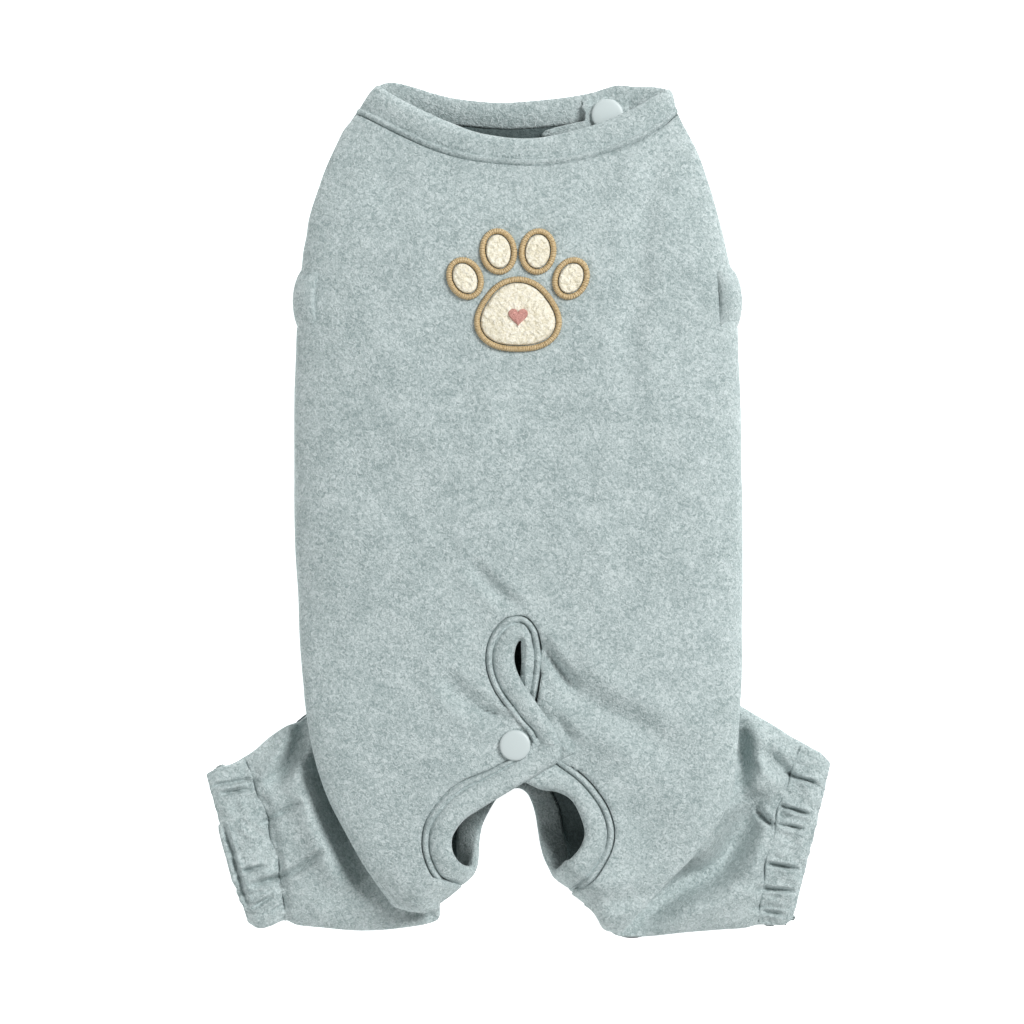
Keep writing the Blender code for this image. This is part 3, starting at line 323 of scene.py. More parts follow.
def body_height(x, y, lapped=True):
    """The back's height: a rounded crown from side to side, less the folds and rolled edges.

    Where lapped, the right half near the flap lies lower, under the flap.
    """
    left, right = read(BODY_SIDES, 1, y), read(BODY_SIDES, 2, y)
    top, side = read(BODY_HEIGHTS, 1, y), read(BODY_HEIGHTS, 2, y)
    u = np.clip(2 * (x - left) / (right - left) - 1, -1, 1)
    crown = (1 - np.abs(u) ** 2.5) ** (1 / 2.5)
    z = side + (top - side) * crown
    z = z - crown * fold_depth(x, y, BODY_FOLDS)
    for path, width, low in BODY_ROLLS:
        away = np.clip(np.abs(path_distance(x, y, smooth(path, 10))[0]) / width, 0, 1)
        z = low + (z - low) * np.sqrt(1 - (1 - away) ** 2)
    z = z + crown * (0.35 * waves(x, y, 46, 3) + 0.14 * waves(x, y, 15, 4))
    if lapped:
        s = path_distance(x, y, smooth(LAP_EDGE, 40))[0]
        step = np.clip((s + LAP_START) / LAP_RUN, 0, 1)
        z = z - LAP_DROP * step * step * (3 - 2 * step) * np.exp(-(np.maximum(s, 0) / 15) ** 2)
    return z


def normals(grid, ring_u=False, ring_v=False):
    """Unit normals of a grid, as the cross product of its two central differences."""

    def slope(axis, ring):
        if ring:
            return np.roll(grid, -1, axis) - np.roll(grid, 1, axis)
        return np.gradient(grid, axis=axis)

    normal = np.cross(slope(1, ring_u), slope(0, ring_v))
    return normal / np.maximum(np.linalg.norm(normal, axis=2, keepdims=True), 1e-9)


def faces_out(grid, ring_v=False):
    """Whether the normals of a grid of rings point away from the middle of each ring."""
    away = grid - grid.mean(1, keepdims=True)
    return (away * normals(grid, ring_u=True, ring_v=ring_v)).sum() > 0


def cells(rows, cols, ring_u=False, ring_v=False):
    """The four corner numbers of each cell of a grid, rows along v and columns along u."""
    index = np.arange(rows * cols).reshape(rows, cols)
    if ring_u:
        index = np.concatenate([index, index[:, :1]], 1)
    if ring_v:
        index = np.concatenate([index, index[:1]], 0)
    corners = index[:-1, :-1], index[:-1, 1:], index[1:, 1:], index[1:, :-1]
    return np.stack(corners, 2).reshape(-1, 4)


def add_piece(name, points, faces, look, node, caps=(), uv=None):
    """Makes a mesh from points in millimetres and hands it to the frame for the node.

    caps are loops of corner numbers that close its ends; uv is one pair for each point. Only
    corners that a face uses are kept.
    """
    points = np.asarray(points, float).reshape(-1, 3) * MM
    used = np.unique(np.concatenate([faces.ravel(), *[np.asarray(c) for c in caps]]).astype(int))
    renumber = np.zeros(len(points), int)
    renumber[used] = np.arange(len(used))
    faces = renumber[faces]
    polygons = faces.tolist() + [renumber[np.asarray(c)].tolist() for c in caps]
    mesh = bpy.data.meshes.new(name)
    mesh.from_pydata(points[used], [], polygons)
    mesh.polygons.foreach_set("use_smooth", np.ones(len(mesh.polygons), bool))
    if uv is not None:
        layer = mesh.uv_layers.new(name="UVMap")
        corner = np.empty(len(mesh.loops), np.int32)
        mesh.loops.foreach_get("vertex_index", corner)
        pairs = np.asarray(uv, np.float32).reshape(-1, 2)[used]
        layer.data.foreach_set("uv", pairs[corner].ravel())
    mesh.materials.append(finish(look))
    piece = bpy.data.objects.new(name, mesh)
    bpy.context.scene.collection.objects.link(piece)
    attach(piece, "root")
    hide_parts(node)
    return piece


def thicken(piece):
    """Gives a single skin its thickness, inwards from its outer face, with the knitted reverse
    inside, painted dark as painted shade.
    """
    piece.data.materials.append(finish("knit_and_painted_shade"))
    wall = piece.modifiers.new("wall", "SOLIDIFY")
    wall.thickness = CLOTH * MM
    wall.offset = -1
    wall.use_even_offset = False
    # the inside takes the second finish, the knitted reverse darkened as painted shade
    wall.material_offset = 1


def sweep(seam, rim, up, profile):
    """Carries a closed profile along a strip between its seam and its rim.

    Each profile row is a share of the strip's width, millimetres added to it, and a height.
    """
    profile = np.asarray(profile, float)
    across = rim - seam
    width = np.linalg.norm(across, axis=1)[:, None, None]
    along = across[:, None] / width
    reach = profile[None, :, 0:1] * width + profile[None, :, 1:2]
    reach = np.clip(reach, 0, width)
    return seam[:, None] + along * reach + up[:, None] * profile[None, :, 2:3]


# share of the width, millimetres added, height: a stitched ridge and a rounded, folded band
BAND_PROFILE = [
    (0, 0.0, -1.8), (0, 0.05, -1.5), (0, 0.45, -1.4), (0, 0.75, -0.20), (0, 1.3, 0.60),
    (0, 2.0, 0.75), (0, 2.6, 0.30), (0, 2.95, -0.90), (0, 3.35, -0.90), (0, 3.8, 0.35),
    (0, 4.6, 1.10), (0.45, 2.0, 1.60), (0.72, 0.8, 1.55), (1, -1.4, 1.10), (1, -0.6, 0.40),
    (1, -0.15, -0.40), (1, 0, -1.2), (1, -0.3, -1.9), (1, -1.2, -2.4), (0.6, 0, -2.6),
    (0.3, 0, -2.5), (0, 1.0, -2.2),
]
NECK_PROFILE = [
    (0, 0.0, -2.1), (0, 0.05, -1.8), (0, 0.45, -1.7), (0, 0.75, -0.2), (0, 1.3, 0.85),
    (0, 2.0, 1.15), (0, 2.6, 0.65), (0, 3.0, -0.60), (0, 3.5, -0.10), (0.2, 2.8, 1.0),
    (0.42, 2.0, 1.8), (0.62, 1.2, 2.15), (0.82, 0.3, 1.9), (1, -1.3, 1.05), (1, -0.5, 0.2),
    (1, -0.1, -0.6), (1, 0, -1.4), (1, -0.3, -2.1), (1, -1.2, -2.6), (0.6, 0, -2.9),
    (0.3, 0, -2.8), (0, 1.0, -2.4),
]


def make_strip(name, seam, rim, up, profile, node, closed=False):
    """A sewn strip as a closed piece: the profile swept along it, with flat ends if open."""
    grid = sweep(seam, rim, up, profile)
    rows, cols, _ = grid.shape
    faces = cells(rows, cols, ring_u=True, ring_v=closed)
    outward = faces_out(grid, ring_v=closed)
    if not outward:
        faces = faces[:, ::-1]
    caps = []
    if not closed:
        first, last = np.arange(cols), np.arange(cols) + (rows - 1) * cols
        caps = [first[::-1], last] if outward else [first, last[::-1]]
    return add_piece(name, grid, faces, "fleece", node, caps)


def smooth_normals(vectors, steps):
    """Evens out a row of directions by averaging neighbours."""
    for _ in range(steps):
        vectors[1:-1] = (vectors[:-2] + 2 * vectors[1:-1] + vectors[2:]) / 4
    return vectors / np.linalg.norm(vectors, axis=1, keepdims=True)


def tail_strip():
    """The tail binding's seam and rim: the right side lies low, and the left side laps over."""
    table = smooth(TAIL_EDGE, 150, even=False)
    rim, seam, lift = table[:, 0:2], table[:, 2:4], table[:, 4]
    share = np.linspace(0, 1, len(table))
    over = np.clip((share - 0.25) / 0.2, 0, 1)
    heights = []
    for edge in (rim, seam):
        low = body_height(*edge.T)
        high = body_height(*edge.T, lapped=False)
        heights.append(low * (1 - over) + high * over + lift)
    return np.column_stack([seam, heights[1]]), np.column_stack([rim, heights[0]])


def crotch_strip():
    """The opening's binding: along the back, over the thighs' edges and down to the belly."""
    table = smooth(CROTCH_EDGE, 420, even=False)
    rim, seam = table[:, 0:2], table[:, 2:4]
    share = np.linspace(0, 1, len(table))
    lapped = share > 0.5
    edges = []
    for edge, part in ((seam, table[:, 5]), (rim, table[:, 4])):
        z = np.where(lapped, body_height(*edge.T), body_height(*edge.T, lapped=False) + 0.3)
        edges.append(np.column_stack([edge, z * np.clip(part, 0.02, 1)]))
    return edges


def strip_up(seam, rim, steps=10):
    """A strip's outward direction: the cross product of its run and its width."""
    run = np.gradient((seam + rim) / 2, axis=0)
    up = np.cross(rim - seam, run)
    up /= np.linalg.norm(up, axis=1, keepdims=True)
    if up[0, 2] < 0:
        up = -up
    return smooth_normals(up, steps)


def seam_part(table, count, first, last):
    """Part of a binding's sewn line in plan, from one row number of its table to another."""
    seam = smooth(table, count, even=False)[:, 2:4]
    per_row = count / (len(table) - 1)
    return seam[int(first * per_row) : int(last * per_row)]


def back_holes():
    """What the back leaves out, the tail hole and the crotch opening, and their sewn edges."""
    tail_hole = seam_part(TAIL_EDGE, 120, 0, 13)
    left = np.concatenate([
        seam_part(CROTCH_EDGE, 340, 1.5, 9.0),
        [(-22.6, -150.8), (-27, -154.4), (-31.4, -157.6), (-32.2, -164.8)]])
    right = np.concatenate([
        [(33.4, -168.8), (27, -158), (20.6, -153.2)],
        seam_part(CROTCH_EDGE, 340, 27.0, 33.2)])
    below = [(-32.2, -196.4), (33.4, -196.4)]
    flap = [(11.8, -99.2)]
    opening = np.concatenate([left, below, right, flap])
    return (tail_hole, [tail_hole]), (opening, [left, right])


def nearest_on(points, path):
    """The nearest point of a path to each point, and how far it is."""
    best = np.full(len(points), 1e9)
    spot = points.copy()
    for start, end in zip(path[:-1], path[1:]):
        run = end - start
        share = np.clip((points - start) @ run / max(run @ run, 1e-9), 0, 1)
        at = start + share[:, None] * run
        away = np.linalg.norm(points - at, axis=1)
        spot = np.where((away < best)[:, None], at, spot)
        best = np.minimum(best, away)
    return spot, best


def trim(grid, faces, kept, paths, reach):
    """Moves the corners along a cut onto the cut's own line, so that its edge is smooth."""
    flat = grid.reshape(-1, 3)
    rim = np.intersect1d(faces[kept], faces[~kept])
    for path in paths:
        spot, away = nearest_on(flat[rim, :2], path)
        near = (away < reach) & (flat[rim, 2] > CUT_LOW)
        flat[rim[near], :2] = spot[near]
        flat[rim[near], 2] = body_height(*spot[near].T)


def hexed(code):
    """A linear colour from an sRGB hex value."""
    values = np.array([int(code[i : i + 2], 16) for i in (1, 3, 5)]) / 255
    linear = np.where(values <= 0.04045, values / 12.92, ((values + 0.055) / 1.055) ** 2.4)
    return (*linear.tolist(), 1.0)


def add_node(tree, kind, values=None, links=None, stops=(), **options):
    """Adds a node with its options, input values, linked outputs and any colour stops."""
    item = tree.nodes.new(kind)
    for key, value in options.items():
        setattr(item, key, value)
    for key, value in (values or {}).items():
        item.inputs[key].default_value = value
    for key, source in (links or {}).items():
        tree.links.new(source, item.inputs[key])
    for _ in stops[2:]:
        item.color_ramp.elements.new(0.5)
    for number, (place, code) in enumerate(stops):
        item.color_ramp.elements[number].position = place
        item.color_ramp.elements[number].color = hexed(code)
    return item


def new_finish(name, roughness, specular=0.5):
    """A material with its shader and the Object coordinates that its patterns read."""
    material = bpy.data.materials.new(name)
    material.use_nodes = True
    tree = material.node_tree
    shader = tree.nodes["Principled BSDF"]
    shader.inputs["Roughness"].default_value = roughness
    shader.inputs["Specular IOR Level"].default_value = specular
    coordinates = add_node(tree, "ShaderNodeTexCoord")
    return material, tree, shader, coordinates.outputs["Object"]


def plush(name, dark, middle, light, nap=1.0, relief=1.0):
    """Polyester fleece, knitted and brushed into a short pile.

    Tufts of about 1.5 mm lean each their own way, so they show as small lighter and darker
    flecks; clumps of hairs of 0.65 mm, coarser than single hairs so that they show, roughen
    them; patches of 11 mm are where handling has laid the pile over. The sheen is the light
    that the hair tips catch. The colour is the sum of the three as a ramp, the relief the
    first two.
    """
    material, tree, shader, place = new_finish(name, 0.95, 0.2)
    shader.inputs["Sheen Weight"].default_value = 0.25
    shader.inputs["Sheen Roughness"].default_value = 0.6
    shader.inputs["Sheen Tint"].default_value = hexed("#E8F2F2")

    fields = []
    for size, detail, twist in ((1.5 * nap, 2.5, 1.2), (0.65 * nap, 1.0, 0.6), (11.0, 2.0, 0.0)):
        values = {"Scale": 1 / (size * MM), "Detail": detail, "Distortion": twist}
        field = add_node(tree, "ShaderNodeTexNoise", values, {"Vector": place})
        fields.append(field.outputs["Fac"])
    tufts, hairs, patches = fields
    flecks = add_node(
        tree, "ShaderNodeMath", {1: 0.55}, {0: hairs, 2: tufts}, operation="MULTIPLY_ADD")
    mixed = add_node(
        tree, "ShaderNodeMath", {1: 0.3}, {0: patches, 2: flecks.outputs[0]},
        operation="MULTIPLY_ADD")
    spread = add_node(
        tree, "ShaderNodeMapRange", {"From Min": 0.70, "From Max": 1.15},
        {"Value": mixed.outputs[0]})
    colour = add_node(
        tree, "ShaderNodeValToRGB", links={"Fac": spread.outputs["Result"]},
        stops=[(0.0, dark), (0.5, middle), (1.0, light)])
    tree.links.new(colour.outputs["Color"], shader.inputs["Base Color"])
    bump = add_node(
        tree, "ShaderNodeBump", {"Strength": 0.9 * relief, "Distance": 0.55 * MM},
        {"Height": flecks.outputs[0]})
    tree.links.new(bump.outputs["Normal"], shader.inputs["Normal"])
    return material


def moulded(name, colour):
    """Polyacetal snap, injection moulded with a satin face: smooth, with a soft wide gloss.

    The colour is plain, as moulded through; the mould's spark grain of 0.8 mm gives low bumps.
    """
    material, tree, shader, place = new_finish(name, 0.42)
    grain = add_node(
        tree, "ShaderNodeTexNoise", {"Scale": 1 / (0.8 * MM), "Detail": 2.0}, {"Vector": place})
    shader.inputs["Base Color"].default_value = hexed(colour)
    bump = add_node(
        tree, "ShaderNodeBump", {"Strength": 0.05, "Distance": 0.05 * MM},
        {"Height": grain.outputs["Fac"]})
    tree.links.new(bump.outputs["Normal"], shader.inputs["Normal"])
    return material


def thread(name, dark, light):
    """Rayon embroidery thread, satin stitched: the thread's own colour, painted lighter along each
    strand as painted highlight and darker between them as painted shade.

    The bands follow the stitches through the piece's UV map, and noise of 0.9 mm frays them.
    """
    material, tree, shader, place = new_finish(name, 0.5, 0.4)
    strands = add_node(tree, "ShaderNodeUVMap", uv_map="UVMap")
    wave = add_node(
        tree, "ShaderNodeTexWave", {"Scale": 1.0, "Distortion": 1.6, "Detail": 2.0},
        {"Vector": strands.outputs["UV"]}, wave_type="BANDS", bands_direction="X")
    tufts = add_node(
        tree, "ShaderNodeTexNoise", {"Scale": 1 / (0.9 * MM), "Detail": 2.0}, {"Vector": place})
    mixed = add_node(
        tree, "ShaderNodeMath", {1: 0.5}, {0: wave.outputs["Fac"], 2: tufts.outputs["Fac"]},
        operation="MULTIPLY_ADD")
    # the ramp paints the bands into the colour: painted highlight on the strands, painted shade
    # between them
    colour = add_node(
        tree, "ShaderNodeValToRGB", links={"Fac": mixed.outputs[0]},
        stops=[(0.35, dark), (0.95, light)])
    tree.links.new(colour.outputs["Color"], shader.inputs["Base Color"])
    bump = add_node(
        tree, "ShaderNodeBump", {"Strength": 0.7, "Distance": 0.3 * MM},
        {"Height": mixed.outputs[0]})
    tree.links.new(bump.outputs["Normal"], shader.inputs["Normal"])
    return material


def finish(key):
    """One of the shared finishes, made at its first use."""
    own = settings()
    name, make, *colours = {
        "fleece": ("brushed_fleece", plush, own.fleece_dark, own.fleece, own.fleece_light),
        # the inner side, the knitted reverse, painted far darker than the fleece as painted shade,
        # since it is hidden from the light and seen only in the openings
        "knit_and_painted_shade": ("knit_back_and_painted_shade", plush, "#3E4A4A", "#4B5858", "#596666"),
        "snap": ("moulded_polyacetal", moulded, own.snap),
        "cream": ("cream_plush", plush, "#D0C8AE", "#E6E0CC", "#F2EEE0"),
        # the threads: their own tan and pink, banded by the thread finish with painted highlight
        # and painted shade
        "tan": ("tan_thread", thread, "#A08457", "#D2BC93"),
        "pink": ("pink_thread", thread, "#C98478", "#E9AFA4"),
    }[key]
    return bpy.data.materials.get(name) or make(name, *colours)


class JumpsuitSettings(bpy.types.PropertyGroup):
    """Sizes and colours that a maker would change."""

    cell: bpy.props.FloatProperty(
        name="Mesh spacing", description="Spacing of the back's grid", default=0.0014,
        min=0.0008, max=0.004, unit="LENGTH", subtype="DISTANCE")
    patch_width: bpy.props.FloatProperty(
        name="Patch width", description="Width of the paw patch", default=0.054,
        unit="LENGTH", subtype="DISTANCE")
    thread_pitch: bpy.props.FloatProperty(
        name="Thread pitch", description="Spacing of the satin stitches", default=0.0008,
        unit="LENGTH", subtype="DISTANCE")
    camera_height: bpy.props.FloatProperty(
        name="Camera height", description="Height of the camera above the floor", default=2.0,
        unit="LENGTH", subtype="DISTANCE")
    fleece: bpy.props.StringProperty(
        name="Fleece", description="The fleece's middle colour, sRGB hex", default="#A9B6B6")
    fleece_dark: bpy.props.StringProperty(
        name="Fleece, dark", description="The colour between the tufts", default="#8B9A9A")
    fleece_light: bpy.props.StringProperty(
        name="Fleece, light", description="The colour of the tufts' tips", default="#C4CFCF")
    snap: bpy.props.StringProperty(
        name="Snaps", description="The snaps' colour, sRGB hex", default="#C1CCCC")


class JUMPSUIT_OT_back(bpy.types.Operator):
    """Makes the upper shell: a net between the neck seam, the sides and the rear edge"""

    bl_idname = "jumpsuit.back"
    bl_label = "Back panel"

    def execute(self, context):
        cell = settings().cell / MM
        rows, cols = int(BACK_LENGTH / cell), int(BACK_WIDTH / cell)
        swing = np.linspace(-1, 1, cols)
        u = 0.5 + 0.5 * np.sign(swing) * (1 - (1 - np.abs(swing)) ** 1.35)
        v = np.linspace(0, 1, rows)

        def side(key):
            end_row = 0 if key == 1 else -1
            start, end = NECK_SEAM[end_row], REAR_EDGE[end_row]
            y = np.linspace(start[1], end[1], rows)
            x = read(BODY_SIDES, key, y)
            pull = np.interp(v, [0, 0.05, 0.95, 1], [start[0] - x[0], 0, 0, end[0] - x[-1]])
            return np.stack([x + pull, y], 1)

        def edge(table):
            x = table[0][0] + (table[-1][0] - table[0][0]) * u
            return np.stack([x, read(table, 1, x)], 1)

        left, right, top, rear = side(1), side(2), edge(NECK_SEAM), edge(REAR_EDGE)
        uu, vv = u[None, :, None], v[:, None, None]
        # a net: the blends of opposite edges, added, less the blend of the four corners
        plan = (1 - vv) * top[None] + vv * rear[None]
        plan = plan + (1 - uu) * left[:, None] + uu * right[:, None]
        plan -= (1 - vv) * ((1 - uu) * top[0] + uu * top[-1])
        plan -= vv * ((1 - uu) * rear[0] + uu * rear[-1])
        x, y = plan[..., 0], plan[..., 1]
        upper = np.dstack([plan, body_height(x, y)])

        def under(start, towards):
            # a quarter ellipse from the side's line down and inwards to the hem
            low = np.minimum(read(BODY_HEIGHTS, 3, start[:, 1]), start[:, 2] - HEM_DROP)
            angle = np.linspace(0, np.pi / 2, HEM_TURNS + 1)[1:]
            reach = np.interp(start[:, 1], HEM_Y, HEM_WIDTH)[:, None] * (1 - np.cos(angle))
            inward = towards / np.linalg.norm(towards, axis=1, keepdims=True)
            spot = start[:, None, :2] + inward[:, None] * reach[..., None]
            fall = (start[:, 2] - low)[:, None] * np.sin(angle)[None]
            return np.dstack([spot, start[:, 2, None] - fall])

        run = plan[:, -1] - plan[:, 0]
        grid = np.concatenate(
            [under(upper[:, 0], run)[:, ::-1], upper, under(upper[:, -1], -run)], 1)
        faces = cells(*grid.shape[:2])
        middle = grid.reshape(-1, 3)[faces].mean(1)
        keep = np.ones(len(faces), bool)
        for outline, paths in back_holes():
            kept = ~(inside(middle[:, 0], middle[:, 1], outline) & (middle[:, 2] > CUT_LOW))
            trim(grid, faces, kept, paths, 1.25 * cell)
            keep &= kept
        for where in (-1, 1):
            centre, axis, width = arm_frame(where)
            away = middle - centre
            # an oval hole, only in the part that the band hides
            beyond = (middle[:, 2] < 11.5) | (middle[:, 0] * where > centre[0] * where + 7.4)
            hole = (away[:, 1] / ARM_HOLE[1]) ** 2 + (away @ width / ARM_HOLE[0]) ** 2
            keep &= ~((hole < 1) & (away @ axis > -4) & beyond)
        faces = faces[keep]
        if normals(grid)[rows // 2, cols // 2, 2] < 0:
            faces = faces[:, ::-1]
        piece = add_piece("back", grid, faces, "fleece", "back_panel")
        thicken(piece)
        return {"FINISHED"}


def arm_frame(where):
    """A front-leg hole's centre, its outward axis and the direction of its width."""
    edge = float(read(BODY_SIDES, 1 if where < 0 else 2, ARM_Y))
    centre = np.array([edge - where * 8.4, ARM_Y, 10.6])
    return centre, np.array([where * 0.72, 0, -0.694]), np.array([where * 0.694, 0, 0.72])


class JUMPSUIT_OT_belly(bpy.types.Operator):
    """Makes the flat under side, out to the back's under edges and the legs' mouths"""

    bl_idname = "jumpsuit.belly"
    bl_label = "Belly panel"

    def execute(self, context):
        rows, cols = 150, 70
        y = np.linspace(FAR_SEAM[0][1], -149.0, rows)
        left = read(BODY_SIDES, 1, y) + BELLY_INSET
        right = read(BODY_SIDES, 2, y) - BELLY_INSET
        mouths = []
        for leg in (LEFT_LEG, RIGHT_LEG):
            (tx, ty), (bx, by) = leg[0][:2], leg[0][2:4]
            mouths.append(tx + (bx - tx) * (ty - y) / (ty - by))
        left = np.maximum(left, mouths[0] + MOUTH_GAP)
        right = np.minimum(right, mouths[1] - MOUTH_GAP)
        u = np.linspace(0, 1, cols)[None]
        x = left[:, None] * (1 - u) + right[:, None] * u
        fade = np.clip(1 - (y[0] - y) / 27, 0, 1)[:, None]
        yy = y[:, None] + fade * (read(FAR_SEAM, 1, x[0]) - y[0])[None]
        z = 0.15 + 0.12 * waves(x, yy, 22, 9) + 0.05 * waves(x, yy, 9, 10)
        grid = np.dstack([x, yy, np.clip(z, 0, 1)])
        faces = cells(rows, cols)
        middle = grid.reshape(-1, 3)[faces].mean(1)
        path = seam_part(CROTCH_EDGE, 340, 10, 26)
        gap = np.concatenate([path, [(17.4, -196.4), (-16.2, -196.4)]])
        faces = faces[~inside(middle[:, 0], middle[:, 1], gap)]
        if normals(grid)[5, 5, 2] > 0:
            faces = faces[:, ::-1]
        piece = add_piece("belly", grid, faces, "fleece", "belly_panel")
        thicken(piece)
        return {"FINISHED"}


class JUMPSUIT_OT_neck(bpy.types.Operator):
    """Makes the folded neck band: a stitched profile carried round the neck"""

    bl_idname = "jumpsuit.neck"
    bl_label = "Neck band"

    def execute(self, context):
        count = 520
        angle = 2 * np.pi * np.arange(count) / count
        front = np.sin(angle) >= 0
        lift = np.abs(np.sin(angle)) ** 0.6

        def loop(near, far):
            # x goes with the angle's cosine, y is read off the near or the far line
            x0, x1 = near[0][0], near[-1][0]
            swing = np.sign(np.cos(angle)) * np.abs(np.cos(angle)) ** 0.8
            x = (x0 + x1) / 2 + (x1 - x0) / 2 * swing
            return x, np.where(front, read(near, 1, x), read(far, 1, x))

        x, y = loop(NECK_SEAM, FAR_SEAM)
        far = SEAM_CORNER + (SEAM_FAR - SEAM_CORNER) * lift
        z = np.where(front, body_height(x, y - 0.6) + 0.1, far)
        seam = np.stack([x, y, z], 1)
        x, y = loop(NECK_RIM, FAR_RIM)
        z = RIM_CORNER + (np.where(front, RIM_NEAR, RIM_FAR) - RIM_CORNER) * lift
        rim = np.stack([x, y, z], 1)
        run = np.roll(seam + rim, -2, 0) - np.roll(seam + rim, 2, 0)
        up = np.cross(rim - seam, run)
        up /= np.linalg.norm(up, axis=1, keepdims=True)
        if up[count // 4, 2] < 0:
            up = -up
        for _ in range(8):
            up = (np.roll(up, 1, 0) + 2 * up + np.roll(up, -1, 0)) / 4
        up /= np.linalg.norm(up, axis=1, keepdims=True)
        up *= (0.15 + 0.85 * lift)[:, None]
        make_strip("neck_rib", seam, rim, up, NECK_PROFILE, "neck_band", closed=True)
        return {"FINISHED"}


class JUMPSUIT_OT_tab(bpy.types.Operator):
    """Makes the lapped end of the neck band, a leaf of cloth under the neck snap"""

    bl_idname = "jumpsuit.tab"
    bl_label = "Neck tab"

    def execute(self, context):
        outline = [
            (166.8, 31, 43.8), (165.2, 26.2, 44.6), (162.4, 25, 44.6), (158.4, 26.2, 44.6),
            (156, 25.8, 43.8), (154, 17.4, 42.6), (152, 11, 40.6), (149.2, 9, 37.4),
        ]
        u, x, y, round_off = leaf(outline, 60, 70, 8, 8, 0.05)
        ragged = 0.5 * waves(x, y, 3, 31) * np.exp(-(u / 0.06) ** 2)
        rise = np.clip((168 - y) / 9, 0, 1)
        z = 2.2 + 4.0 * rise + 1.5 * round_off
        z = z + 0.2 * waves(x, y, 7, 5) + 0.15 * waves(x, y, 2.5, 6)
        top = np.dstack([x + ragged, y, z])
        low = np.dstack([x + ragged, y, 1.6 + 4.0 * rise])
        shell_piece("neck_tab_leaf", top, low, "neck_tab")
        return {"FINISHED"}


def leaf(outline, rows, cols, across, along, start=0.0):
    """A grid between a left and a right edge, and its border's roundness, from 0 to 1.

    Outline rows are y, left and right edge. The roundness is a quarter circle's height over
    the share of the way in from each edge, times across or along.
    """
    table = smooth(outline, rows, even=False)
    u, v = np.linspace(0, 1, cols)[None], np.linspace(0, 1, rows)[:, None]
    x = table[:, 1:2] * (1 - u) + table[:, 2:3] * u
    y = table[:, 0:1] + 0 * u
    edge = np.minimum(np.minimum(u, 1 - u) * across, np.minimum(v + start, 1 - v) * along)
    return u, x, y, np.sqrt(1 - (1 - np.clip(edge, 0, 1)) ** 2)


def shell_piece(name, top, low, node):
    """A closed plate between an upper and a lower grid, joined round its border."""
    rows, cols, _ = top.shape
    shift = rows * cols
    index = np.arange(shift).reshape(rows, cols)
    skin = cells(rows, cols)
    border = np.concatenate([index[0, :-1], index[:-1, -1], index[-1, :0:-1], index[:0:-1, 0]])
    ahead = np.roll(border, -1)
    wall = np.stack([ahead, border, border + shift, ahead + shift], 1)
    faces = np.concatenate([skin, skin[:, ::-1] + shift, wall])
    if normals(top)[rows // 2, cols // 2, 2] < 0:
        faces = faces[:, ::-1]
    points = np.concatenate([top.reshape(-1, 3), low.reshape(-1, 3)])
    return add_piece(name, points, faces, "fleece", node)


class JUMPSUIT_OT_tail(bpy.types.Operator):
    """Makes the tail hole's binding, one strip that laps over itself and ends at the flap"""

    bl_idname = "jumpsuit.tail"
    bl_label = "Tail binding"

    def execute(self, context):
        seam, rim = tail_strip()
        up = strip_up(seam, rim)
        make_strip("tail_rib", seam, rim, up, BAND_PROFILE, "tail_binding")
        return {"FINISHED"}


class JUMPSUIT_OT_crotch(bpy.types.Operator):
    """Makes the binding of the opening between the hind legs, one strip over back and belly"""

    bl_idname = "jumpsuit.crotch"
    bl_label = "Crotch binding"

    def execute(self, context):
        seam, rim = crotch_strip()
        up = strip_up(seam, rim, 14)
        make_strip("crotch_rib", seam, rim, up, BAND_PROFILE, "crotch_binding")
        return {"FINISHED"}


class JUMPSUIT_OT_underlap(bpy.types.Operator):
    """Makes the under layer of the flap, whose tip shows beside the flap's corner"""

    bl_idname = "jumpsuit.underlap"
    bl_label = "Flap under layer"

    def execute(self, context):
        outline = [
            (-90.4, 7, 13.4), (-92.4, 5.4, 16.6), (-94.4, 3.8, 19.8), (-96.4, 2.2, 22.6),
            (-97.8, 1.4, 20.6), (-99.6, 0.6, 16.6), (-102, -0.2, 13.4),
        ]
        u, x, y, round_off = leaf(outline, 30, 40, 6, 5)
        z = body_height(x, y)
        top = np.dstack([x, y, z + 0.1 + 1.0 * round_off])
        low = np.dstack([x, y, z - 0.9])
        shell_piece("flap_under", top, low, "tail_underlap")
        return {"FINISHED"}


